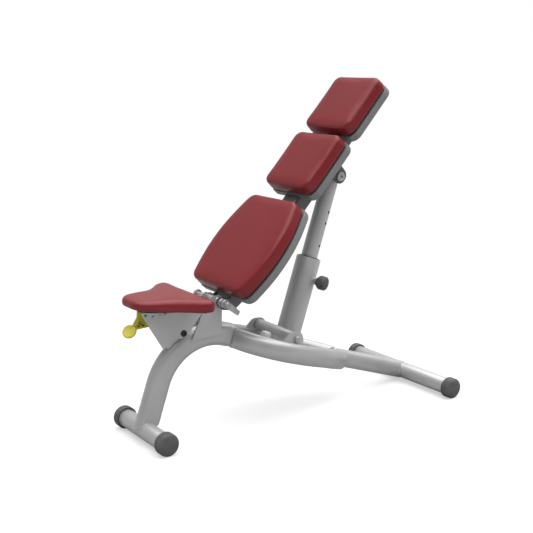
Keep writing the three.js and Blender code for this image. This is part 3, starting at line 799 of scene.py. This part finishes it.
def washer_and_hexagon():
    """The pivot bolt's washer and head, on the outer face of the right ear."""
    washer = collar(WASHER_R, PIVOT_BOLT_R, EAR_OUTER + 0.2, EAR_OUTER + 1.8, STRUT_BASE, 0.4)
    return joined(washer, lathed(HEXAGON, 6, centre=STRUT_BASE, start=EAR_OUTER))


shank = rod(PIVOT_BOLT_R, -EAR_OUTER - 11, EAR_OUTER + 3, STRUT_BASE)
stand_in("strut_pivot_bolt", joined(shank, washer_and_hexagon()), BENCH)
stand_in("strut_pivot_nut", mirrored(washer_and_hexagon()), BENCH)


# ---- strut ----
TUBE = Matrix.Translation((0, 0, -STRUT_OFFSET)) @ TO_Y


def on_tube(shape):
    shape.transform(TUBE)
    return shape


def from_pin(shape, along=PIN_ALONG):
    """A shape along X, stood on the strut at a distance along it, in the pop pin's direction."""
    facing = Matrix.Rotation(math.pi / 2 - PIN_TURN, 4, "Y")
    shape.transform(Matrix.Translation((0, along, -STRUT_OFFSET)) @ facing)
    return shape


OUTER_PROFILE = [
    (-6, OUTER_BORE_R), (-6, OUTER_R - 1), (-5, OUTER_R), (OUTER_LENGTH - 1.4, OUTER_R),
    (OUTER_LENGTH - 0.4, OUTER_R - 0.5), (OUTER_LENGTH, OUTER_R - 1.6), (OUTER_LENGTH, OUTER_BORE_R),
]
outer_tube = stand_in("strut_outer_tube", on_tube(lathed(OUTER_PROFILE, 80, loop=True)), STRUT)
GUIDE_PROFILE = [
    (-36, INNER_R + 0.3), (-36, OUTER_BORE_R), (0.2, OUTER_BORE_R), (0.2, OUTER_BORE_R + 4),
    (2, OUTER_BORE_R + 4), (3, OUTER_BORE_R + 3), (3, INNER_R + 0.8), (2.4, INNER_R + 0.3),
]
guide = lathed(GUIDE_PROFILE, 72, loop=True, start=OUTER_LENGTH)
stand_in("strut_guide_bush", on_tube(guide), STRUT)
barrel = collar(STRUT_BARREL_R, PIVOT_BOLT_R + 0.4, -STRUT_BARREL_HALF, STRUT_BARREL_HALF, segments=64)
barrel = stand_in("strut_barrel", barrel, STRUT)


def wall_rings(radius, start, end):
    """Rings around the wall of one of the strut's tubes, from start towards end."""
    turns, steps = round_angles(64), 12
    rings = []
    for i in range(steps + 1):
        y = start + (end - start) * i / steps
        rings.append([(radius * math.sin(a), y, radius * math.cos(a) - STRUT_OFFSET) for a in turns])
    return rings


weld("weld_barrel_tube", wall_rings(OUTER_R, 60, -10), STRUT, barrel, "strut_outer", 2.6)

INNER_PROFILE = [
    (INNER_START, INNER_BORE_R), (INNER_START, INNER_R - 0.8), (INNER_START + 0.8, INNER_R),
    (STRUT_LENGTH - 4, INNER_R), (STRUT_LENGTH - 4, INNER_BORE_R),
]
inner = on_tube(lathed(INNER_PROFILE, 80, loop=True))
# Black plastic cups in the pin holes: painted shade, standing in for the shade inside each hole.
HOLE_SHADE_CUP = [
    (INNER_BORE_R - 0.4, 0), (INNER_BORE_R - 0.4, HOLE_R - 0.05), (INNER_R - 0.6, HOLE_R - 0.05),
    (INNER_R - 0.6, HOLE_R - 0.6), (INNER_BORE_R, HOLE_R - 0.6), (INNER_BORE_R, 0),
]
hole_tools, hole_shade_cups = [], []
for step in HOLE_STEPS:
    along = PIN_ALONG + step * HOLE_PITCH
    hole_tools.append(from_pin(rod(HOLE_R, 15, 40, edge=0.1, segments=32), along))
    hole_shade_cups.append(from_pin(lathed(HOLE_SHADE_CUP, 32), along))
stand_in("strut_inner_tube", cut_out("inner", inner, hole_tools), STRUT)
placed("inner_tube_hole_shade_cups", joined(*hole_shade_cups), STRUT, "strut_inner", "black_plastic")
# A black plastic sleeve inside the inner tube: painted shade, so that the tube's inside and its holes read dark.
SHADE_SLEEVE_R, SHADE_SLEEVE_BORE_R = 24.9, 24.2
SHADE_SLEEVE_PROFILE = [
    (INNER_START + 1, SHADE_SLEEVE_BORE_R), (INNER_START + 1, SHADE_SLEEVE_R),
    (STRUT_LENGTH - 6, SHADE_SLEEVE_R), (STRUT_LENGTH - 6, SHADE_SLEEVE_BORE_R),
]
shade_sleeve = on_tube(lathed(SHADE_SLEEVE_PROFILE, 48, loop=True))
placed("inner_tube_shade_sleeve", shade_sleeve, STRUT, "strut_inner", "black_plastic")
TOP_EYE, TOP_EYE_HALF, TOP_EYE_BORE_R = (STRUT_LENGTH, -STRUT_OFFSET), 38, 9
top_eye = collar(STRUT_BARREL_R, TOP_EYE_BORE_R, -TOP_EYE_HALF, TOP_EYE_HALF, TOP_EYE, 1.5, 64)
top_eye = stand_in("strut_top_eye", top_eye, STRUT)
top_rings = wall_rings(INNER_R, STRUT_LENGTH - 60, STRUT_LENGTH)
weld("weld_top_eye", top_rings, STRUT, top_eye, "strut_inner", 2.2)


# ---- pop pin ----
PIN_HOUSING_R = 13
HOUSING_PROFILE = [
    (INNER_R + 4, 5.4), (INNER_R + 4, PIN_HOUSING_R), (48, PIN_HOUSING_R), (48.6, 12.4), (48.6, 11.2),
    (49.4, 11.2), (49.4, 12.4), (50, PIN_HOUSING_R), (56, PIN_HOUSING_R), (57, 12), (57, 5.4),
]
stand_in("pin_housing", from_pin(lathed(HOUSING_PROFILE, 48, loop=True)), STRUT)


def housing_rings():
    """Rings around the pin housing, down into the outer tube."""
    cos, sin = math.cos(PIN_TURN), math.sin(PIN_TURN)
    rings = []
    for out in (56, 48, 40, 32):
        ring = []
        for angle in round_angles(32):
            aside, along = PIN_HOUSING_R * math.cos(angle), PIN_HOUSING_R * math.sin(angle)
            ring.append((sin * out + aside * cos, PIN_ALONG + along, -STRUT_OFFSET - cos * out + aside * sin))
        rings.append(ring)
    return rings


weld("weld_pin_housing", housing_rings(), STRUT, outer_tube, "strut_outer", 1.8)
KNOB_FROM = 59
KNOB_PROFILE = [
    (0, 0), (0, 5.3), (0, 15.5), (0.8, 16.8), (2, 17.2), (4.5, 19), (8, 23.2), (11, 24.8), (16, 25.4),
    (22, 25.5), (29, 25.4), (33, 24.4), (35.6, 22), (37.2, 18), (37.9, 12), (38, 0),
]
stand_in("pop_pin_knob", from_pin(lathed(KNOB_PROFILE, 60, start=KNOB_FROM)), STRUT, sharp=30)
stand_in("pop_pin", from_pin(rod(5, INNER_R + 0.6, KNOB_FROM + 25)), STRUT)


# ---- backrest: spine, lugs, axle ----
def backrest_spine():
    """A rounded box tube whose lower end slopes away behind the hinge."""
    half, front, rear, corner = BACK_SPINE_HALF, BACK_SPINE_FRONT, BACK_SPINE_REAR, 11
    rings = []
    # (distance along, share of the full depth, shrink all round)
    stations = [(24, 0.50, 3), (28, 0.55, 0), (44, 0.68, 0), (62, 0.82, 0), (80, 0.93, 0), (98, 1.0, 0)]
    stations += [(140 + 51 * k, 1.0, 0) for k in range(15)]
    stations += [(BACK_SPINE_TOP - 2, 1.0, 0), (BACK_SPINE_TOP, 1.0, 2)]
    for y, share, shrink in stations:
        depth = (front - rear) * share
        low, high = front - depth + shrink, front - shrink
        wide = half - shrink
        corners = [(wide, low, corner), (wide, high, corner), (-wide, high, corner), (-wide, low, corner)]
        rings.append([(p.x, y, p.y) for p in filleted(corners, 6)])
    return skinned(rings)


stand_in("backrest_spine", backrest_spine(), BACK, sharp=40)


def spine_end_plug():
    """A plastic plug in the spine's top end, stacked along Z and then laid along the spine."""
    corners = [(36, -31, 8), (-36, -31, 8), (-36, -79, 8), (36, -79, 8)]
    plug = slab(evened(filleted(corners, 5), 6), [(0, 0), (0, 3), (1, 4), (4, 4.6)])
    swap_y_and_z = Matrix(((1, 0, 0, 0), (0, 0, 1, 0), (0, 1, 0, 0), (0, 0, 0, 1)))
    plug.transform(Matrix.Translation((0, BACK_SPINE_TOP - 2, 0)) @ swap_y_and_z)
    bmesh.ops.recalc_face_normals(plug, faces=plug.faces)
    return plug


placed("spine_end_plug", spine_end_plug(), BACK, "backrest", "black_plastic")

LUG = [
    (-14, 14, 13.5), (-16, -26, 12), (10, -66, 12), (62, -76, 6), (62, -34, 6), (18, -16, 10), (14, 14, 13.5),
]
LUG_INNER = BACK_SPINE_HALF + GAP
LUG_OUTER = LUG_INNER + EAR
plate_pair("hinge_lug", filleted(LUG, 9), LUG_INNER, LUG_OUTER, BACK)

AXLE_R = 9.5
AXLE_PROFILE = [
    (-112, 0), (-112, 7.5), (-110.5, 9), (-109, AXLE_R), (-94, AXLE_R), (-93.4, 8.6), (-92.4, 8.6),
    (-91.8, AXLE_R), (101, AXLE_R), (103, 8.6), (104, 7), (104, 3.4), (102.8, 3), (102.8, 0),
]
stand_in("hinge_axle", lathed(AXLE_PROFILE, 48), BACK)
AXLE_COLLAR_R, AXLE_COLLAR_LENGTH = 15, 11
for name, start in (("left", -106), ("right_inner", 58), ("right_outer", 78)):
    ring = collar(AXLE_COLLAR_R, AXLE_R, start, start + AXLE_COLLAR_LENGTH, edge=1.6)
    stand_in(f"axle_collar_{name}", ring, BACK)
STOP_TAB = [(-11, 11, 10.5), (-11, -10, 8), (-6, -58, 3), (10, -56, 3), (11, -10, 8), (11, 11, 10.5)]
stand_in("stop_tab", plate(filleted(STOP_TAB, 8), 92, 100, 1.2), BACK)


# ---- backrest: upper strut ears ----
STRUT_TOP = (STRUT_TOP_Y, STRUT_TOP_Z)
UPPER_EAR = [
    (STRUT_TOP_Y - 27, STRUT_TOP_Z - 26, 26), (STRUT_TOP_Y + 27, STRUT_TOP_Z - 26, 26),
    (STRUT_TOP_Y + 38, -50, 6), (STRUT_TOP_Y - 24, -50, 6),
]
BOLT_HEAD = [(0.2, 0), (0.2, 16.4), (1, 17), (6, 17), (8, 15.8), (8.8, 13), (9, 7.5), (9, 0)]
BOLT_SOCKET = [(4, 0), (4, 5.6), (12, 5.6), (12, 0)]
for name, side in SIDES:
    shape = plate(filleted(UPPER_EAR, 12), LUG_INNER, LUG_OUTER, 1.2)
    stand_in(f"upper_ear_{name}", on_side(side, shape), BACK)
    head = lathed(BOLT_HEAD, 48, centre=STRUT_TOP, start=LUG_OUTER)
    socket = lathed(BOLT_SOCKET, 6, centre=STRUT_TOP, start=LUG_OUTER)
    stand_in(f"upper_bolt_{name}", on_side(side, cut_out("bolt", head, [socket])), BACK)


# ---- pads ----
def symmetric(right):
    return [*right, *((-x, y, r) for x, y, r in reversed(right))]


PAD_CORNERS = {
    "lumbar": symmetric([(158, 38, 38), (208, 230, 440), (137, 421, 42)]),
    "middle": symmetric([(130, 470, 33), (130, 712, 33)]),
    "head": symmetric([(126, 732, 33), (126, 974, 33)]),
}
VOXEL = 4 * MM
HELD_HEIGHT, MAX_SWELL = 3, 3
PRESSURE_FRAMES = 20


def evaluated_mesh(thing):
    graph = bpy.context.evaluated_depsgraph_get()
    return bpy.data.meshes.new_from_object(thing.evaluated_get(graph))


def eased(mesh, moves, rounds=24):
    """Moves averaged over neighbouring points, so that the swelling has no lumps."""
    links = np.empty(2 * len(mesh.edges), dtype=np.int64)
    mesh.edges.foreach_get("vertices", links)
    first, second = links.reshape(-1, 2).T
    count = np.bincount(links, minlength=len(mesh.vertices))[:, None]
    for _ in range(rounds):
        total = np.zeros_like(moves)
        np.add.at(total, first, moves[second])
        np.add.at(total, second, moves[first])
        moves = 0.5 * moves + 0.5 * total / count
    return moves


def points_of(mesh):
    points = np.empty(3 * len(mesh.vertices))
    mesh.vertices.foreach_get("co", points)
    return points.reshape(-1, 3)


def upholstered(shape, bottom):
    """A foam pad's skin: the shape remeshed, puffed by cloth pressure with its underside held, and
    smoothed. No point moves further than the greatest swell. Millimetres in, a mesh in metres out."""
    shape.transform(TO_METRES)
    pad = added("pad", as_mesh("pad", shape))
    remesh = pad.modifiers.new("remesh", "REMESH")
    remesh.mode = "VOXEL"
    remesh.voxel_size = VOXEL
    pad.data = evaluated_mesh(pad)
    pad.modifiers.clear()
    rest = points_of(pad.data)
    held = pad.vertex_groups.new(name="held")
    low = np.flatnonzero(rest[:, 2] < (bottom + HELD_HEIGHT) * MM)
    held.add([int(i) for i in low], 1.0, "REPLACE")
    cloth = pad.modifiers.new("cloth", "CLOTH").settings
    cloth.use_pressure = True
    cloth.uniform_pressure_force = 4
    cloth.effector_weights.gravity = 0
    cloth.vertex_group_mass = "held"
    cloth.quality = 5
    for number in range(1, PRESSURE_FRAMES + 1):
        bpy.context.scene.frame_set(number)
    puffed = evaluated_mesh(pad)
    pad.modifiers.clear()
    moves = points_of(puffed) - rest
    reach = np.linalg.norm(moves, axis=1, keepdims=True)
    moves *= np.minimum(1, MAX_SWELL * MM / np.maximum(reach, 1e-9))
    puffed.vertices.foreach_set("co", (rest + eased(puffed, moves)).ravel())
    pad.data = puffed
    smooth = pad.modifiers.new("smooth", "SMOOTH")
    smooth.factor = 0.5
    smooth.iterations = 3
    divide = pad.modifiers.new("divide", "SUBSURF")
    divide.levels = divide.render_levels = 1
    finished = evaluated_mesh(pad)
    bpy.data.objects.remove(pad)
    return finished


def upholstered_piece(node, shape, place, bottom):
    mesh = upholstered(shape, bottom)
    mesh.transform(place)
    piece = as_piece(node + "_finished", mesh, BODY_OF[node], "vinyl", 80, (node,))


PAD_BACK = PAD_FACE - PAD_THICKNESS
BOARD_BACK = PAD_BACK - GAP - BOARD_THICKNESS
COVER_FRONT = BOARD_BACK - GAP
COVER_BACK = COVER_FRONT - COVER_THICKNESS
BOARD_LEVELS = [(9.6, BOARD_BACK), (9, BOARD_BACK + 0.6), (9, PAD_BACK - 0.9), (9.6, PAD_BACK - GAP)]
SCREW_HEAD = [(0, 0), (0, 5.6), (-1.2, 5.4), (-2.6, 4.2), (-3.2, 2.4), (-2.0, 2.2), (-2.0, 0)]
SCREWS = {"lumbar": ((96, 96), (108, 335)), "middle": ((92, 508), (92, 674)), "head": ((90, 770), (90, 936))}
for name, corners in PAD_CORNERS.items():
    outline = evened(filleted(corners, 14), 6)
    pad = slab(inset(outline, 1.2), rounded_levels(PAD_BACK + 0.4, PAD_FACE - 2.2, 5, 9.5))
    upholstered_piece(f"{name}_pad", pad, BACK, PAD_BACK)
    stand_in(f"{name}_board", slab(outline, BOARD_LEVELS), BACK)
    cover = slab(outline, rounded_levels(COVER_BACK, COVER_FRONT, 11, 1.2, 6))
    for vertex in cover.verts:
        # the moulding draws in a little towards its front rim
        vertex.co.x *= 1 - 0.004 * (vertex.co.z - COVER_BACK) / COVER_THICKNESS
    stand_in(f"{name}_cover", cover, BACK)
    heads = []
    for x, y in SCREWS[name]:
        for side in (-1, 1):
            head = lathed(SCREW_HEAD, 32)
            head.transform(Matrix.Translation((side * x, y, COVER_BACK + 0.2)) @ TO_Z)
            heads.append(head)
    placed(f"{name}_cover_screws", joined(*heads), BACK, "backrest", "steel")


# ---- seat ----
SEAT_PLATE_REAR = [(-472, 352, 3), (-456, 345, 14), (-424, 358, 14), (-372, 420, 8), (-366, 449, 3)]
SEAT_PLATE_FRONT = {
    "left": [(SEAT_RISE_START, 449, 0), (-541, 450.6, 3), (-536, 438, 3), (-482, 332, 3)],
    "right": [(SEAT_RISE_START, 449, 0), (-600, 455.8, 3), (-593, 440, 3), (-519, 318, 3)],
}
SEAT_PLATE_INNER, SEAT_PLATE = 35, 5
SEAT_OUTER = SEAT_PLATE_INNER + SEAT_PLATE
for name, side in SIDES:
    outline = filleted([*SEAT_PLATE_FRONT[name], *SEAT_PLATE_REAR], 8)
    shape = plate(outline, SEAT_PLATE_INNER, SEAT_OUTER, 0.9)
    stand_in(f"seat_plate_{name}", on_side(side, shape), BENCH)


def both_ends(radius, height, outer, centre, socket=0.0):
    """Rounded heads on both outer faces of the seat plates, on one shank."""
    profile = [
        (0, 0), (0, radius), (0.5 * height, radius), (0.85 * height, 0.86 * radius),
        (height, 0.6 * radius), (height, socket), (0.5 * height, socket), (0.5 * height, 0),
    ]
    heads = [on_side(side, lathed(profile, 40, centre=centre, start=outer)) for side in (1, -1)]
    return joined(*heads, rod(0.6 * radius, -outer, outer, centre))


stand_in("seat_pivot_bolt", both_ends(11, 5.5, SEAT_OUTER + 0.2, SEAT_PIVOT, 4.5), BENCH)
stand_in("lever_pin", both_ends(5.5, 3.5, SEAT_OUTER + 0.2, LEVER_PIVOT), BENCH)
rivets = joined(*(both_ends(4.2, 2.2, SEAT_OUTER - 0.2, place) for place in ((-528, 436), (-404, 436))))
placed("seat_plate_rivets", rivets, BENCH, "seat", "steel")
RIVET_HEAD = [(-2, 0), (-2, 4.2), (1.2, 4.2), (2, 2.8), (2.2, 0)]
front_rivet = lathed(RIVET_HEAD, 32, centre=(-583, 444), start=SEAT_OUTER)
placed("seat_plate_front_rivet", front_rivet, BENCH, "seat", "dark_paint")


def hooked_slot_shade():
    """A hooked slot in the right-hand plate, drawn as a thin black inlay: painted shade for the slot's dark
    inside.
    """
    centre, radius, half_width = Vector((-553, 432)), 7, 1.4
    outer, inner = [], []
    for k in range(15):
        out = ray(math.radians(60 + 8.5 * k))
        share = math.sin(math.pi * (k + 0.6) / 15.2) ** 0.5
        outer.append(centre + out * (radius + half_width * share))
        inner.append(centre + out * (radius - half_width * share))
    return plate([*outer, *reversed(inner)], SEAT_OUTER - 1, SEAT_OUTER + 0.15, 0.05)


# The slot's black inlay is painted shade.
placed("seat_plate_slot_shade", hooked_slot_shade(), BENCH, "seat", "black_plastic")


def seat_outline():
    """A saddle shape: a curve from the nose out to the wings, and a rounded corner at the rear."""
    from_nose = [(0, 0), (38, 2), (70, 22), (86, 58), (103, 116), (130, 152), (159, 181), (SEAT_HALF, 210)]
    edge = spline([(x, SEAT_NOSE_Y + y) for x, y in from_nose], 8)
    start = edge[-1]
    control = Vector((SEAT_HALF + 2, SEAT_REAR_Y))
    end = Vector((SEAT_HALF - 34, SEAT_REAR_Y))
    steps = 10
    for k in range(1, steps + 1):
        t = k / steps
        edge.append((1 - t) ** 2 * start + 2 * t * (1 - t) * control + t**2 * end)
    left = [Vector((-p.x, p.y)) for p in reversed(edge[1:])]
    return evened([*edge, *left], 6)


def seat_rise(y):
    """How far the pad's underside and the board have risen towards the nose."""
    return max(0, SEAT_RISE_START - y) * math.tan(SEAT_RISE)


SEAT_OUTLINE = seat_outline()
SEAT_TOP = SEAT_PAD_BOTTOM + SEAT_PAD_THICKNESS
seat = slab(inset(SEAT_OUTLINE, 0.3), rounded_levels(SEAT_PAD_BOTTOM + 0.2, SEAT_TOP - 1, 9, 17))
for vertex in seat.verts:
    depth = (SEAT_TOP - vertex.co.z) / SEAT_PAD_THICKNESS
    vertex.co.z += seat_rise(vertex.co.y) * depth
upholstered_piece("seat_pad", seat, BENCH, SEAT_PAD_BOTTOM)
board = slab(SEAT_OUTLINE, [(31, 449.4), (30, 450), (30, 454), (31, 454.7)])
for vertex in board.verts:
    vertex.co.z += seat_rise(vertex.co.y)
stand_in("seat_board", board, BENCH)


# ---- release lever ----
LEVER_HALF = 5
LEVER = [
    (-500, 446, 8), (-500, 428, 8), (-546, 394, 6), (-600, 391, 4), (-614, 402, 4), (-594, 430, 4),
    (-592, 451, 1), (-576, 451, 1), (-570, 432, 6), (-524, 432, 6), (-520, 446, 4),
]
LEVER_POCKET = filleted([(-587, 421, 3), (-602, 398, 3), (-562, 400, 3)], 5)
LEVER_WEB_HALF = 1.5
lever_cuts = [plate(LEVER_POCKET, *depths, 0.1) for depths in ((LEVER_WEB_HALF, 20), (-20, -LEVER_WEB_HALF))]
lever = cut_out("lever", plate(filleted(LEVER, 6), -LEVER_HALF, LEVER_HALF, 1.2), lever_cuts)


def lever_rib(start, end, half_width=0.9):
    """A thin upright rib across the lever's pocket, between two (y, z) points."""
    start, end = Vector(start), Vector(end)
    along = (end - start).normalized() * half_width
    aside = Vector((-along.y, along.x))
    outline = [start - aside, end - aside, end + aside, start + aside]
    return plate(outline, 0.4 - LEVER_HALF, LEVER_HALF - 0.4, 0.3)


LEVER_RIBS = [
    ((-595, 411), (-575, 398)), ((-591, 418), (-563, 399)),
    ((-598, 399), (-580, 415)), ((-586, 399), (-573, 409)),
]
stand_in("release_lever", joined(lever, *(lever_rib(*ends) for ends in LEVER_RIBS)), BENCH)
# Thin black sheets on the pocket floors between the ribs: painted shade in the yellow lever's pockets.
pocket_shade = plate(inset(LEVER_POCKET, 0.3), LEVER_WEB_HALF + 0.05, LEVER_WEB_HALF + 0.4, 0.05)
pocket_shade = joined(pocket_shade, mirrored(pocket_shade.copy()))
placed("lever_pocket_shade", pocket_shade, BENCH, "lever", "black_plastic")
DISC_PLACE = Vector((0, -622, 388))
DISC_FACING = Vector((0.44, -0.6, 0.66))
DISC_PROFILE = [
    (-5.5, 0), (-5.5, 19), (-5, 21.6), (-3.6, 23.4), (-1.6, 24), (2, 24), (3.9, 23.3), (5.1, 21.6),
    (5.5, 19.2), (5.2, 17.6), (5.2, 0),
]
disc = lathed(DISC_PROFILE, 64)
disc.transform(Matrix.Translation(DISC_PLACE) @ DISC_FACING.to_track_quat("X", "Z").to_matrix().to_4x4())
stand_in("lever_disc", disc, BENCH)


# ---- set: floor, light and camera ----
def pale_floor():
    """A pale floor that turns into the white of the backdrop within two metres. It gives back less
    light than it shows, as a studio table with dark flags below would."""
    mesh = bpy.data.meshes.new("floor")
    reach = 60
    corners = [(-reach, -reach, 0), (reach, -reach, 0), (reach, reach, 0), (-reach, reach, 0)]
    mesh.from_pydata(corners, [], [(0, 1, 2, 3)])
    floor = added("floor", mesh)
    shader = Shader("floor_paint", 0.8, specular=0.1)
    seen = mottled(shader, 1.5, (0.86,) * 3, (0.89,) * 3)
    camera_ray = shader.node("LightPath").outputs["Is Camera Ray"]
    colour = shader.blend(camera_ray, (0.36,) * 3, seen)
    mesh.materials.append(shader.finish(colour, shader.ranged(shader.noise(3), 0.75, 0.85)))
    length = shader.node("VectorMath", "LENGTH")
    shader.link(shader.place, length.inputs[0])
    far = shader.ranged(length.outputs["Value"], 0.5, 1, 0.7, 1.9)
    white = shader.node("Emission", Color=WHITE, Strength=1.0)
    paint = shader.principled.outputs["BSDF"]
    surface = shader.mixed(shader.product(far, camera_ray), paint, white.outputs["Emission"])
    shader.link(surface, shader.tree.nodes["Material Output"].inputs["Surface"])


def soft_sun(name, towards, strength, softness, highlights=True):
    """A soft light from a direction, the same everywhere, which may leave highlights or not."""
    data = bpy.data.lights.new(name, "SUN")
    data.energy = strength
    data.angle = math.radians(softness)
    lamp = added(name, data)
    lamp.visible_glossy = highlights
    lamp.rotation_mode = "QUATERNION"
    lamp.rotation_quaternion = (-Vector(towards)).to_track_quat("-Z", "Y")


def studio_sky():
    """Even white where it is seen; where it lights, a dome that is brightest overhead and behind."""
    world = bpy.data.worlds.new("studio")
    bpy.context.scene.world = world
    world.use_nodes = True
    world.node_tree.nodes.clear()
    sky = Nodes(world.node_tree)
    direction = sky.node("TexCoord").outputs["Generated"]
    split = sky.node("SeparateXYZ")
    sky.link(direction, split.inputs["Vector"])
    height = sky.ranged(split.outputs["Z"], 0.75, 1.15, -0.2, 1.0)
    behind = sky.node("VectorMath", "DOT_PRODUCT")
    behind.inputs[1].default_value = (-0.72, 0.69, 0)
    sky.link(direction, behind.inputs[0])
    depth = sky.ranged(behind.outputs["Value"], 0.14, 0.62, -0.9, 0.9, "SMOOTHSTEP")
    dome = sky.node("Background", Color=WHITE)
    sky.link(sky.product(height, depth), dome.inputs["Strength"])
    seen = sky.node("Background", Color=WHITE, Strength=1.0)
    camera_ray = sky.node("LightPath").outputs["Is Camera Ray"]
    mix = sky.mixed(camera_ray, dome.outputs["Background"], seen.outputs["Background"])
    sky.link(mix, sky.node("OutputWorld").inputs["Surface"])


def photo_camera():
    """The photograph's camera, from the front right and a little above."""
    azimuth, elevation = math.radians(55.4), math.radians(12.05)
    data = bpy.data.cameras.new("camera")
    data.lens = 64.69
    data.sensor_width = 36
    camera = added("camera", data)
    camera.location = (2.71988, -1.94951, 1.24422)
    level = math.cos(elevation)
    ahead = Vector((-math.sin(azimuth) * level, math.cos(azimuth) * level, -math.sin(elevation)))
    camera.rotation_mode = "QUATERNION"
    camera.rotation_quaternion = ahead.to_track_quat("-Z", "Y")
    bpy.context.scene.camera = camera


pale_floor()
studio_sky()
soft_sun("key", (0.05, 0.18, 0.98), 4.4, 90)
soft_sun("front_fill", (0.55, -0.75, 0.35), 0.9, 90, highlights=False)
photo_camera()
bpy.context.scene.view_settings.view_transform = "Standard"
bpy.context.scene.frame_set(1)
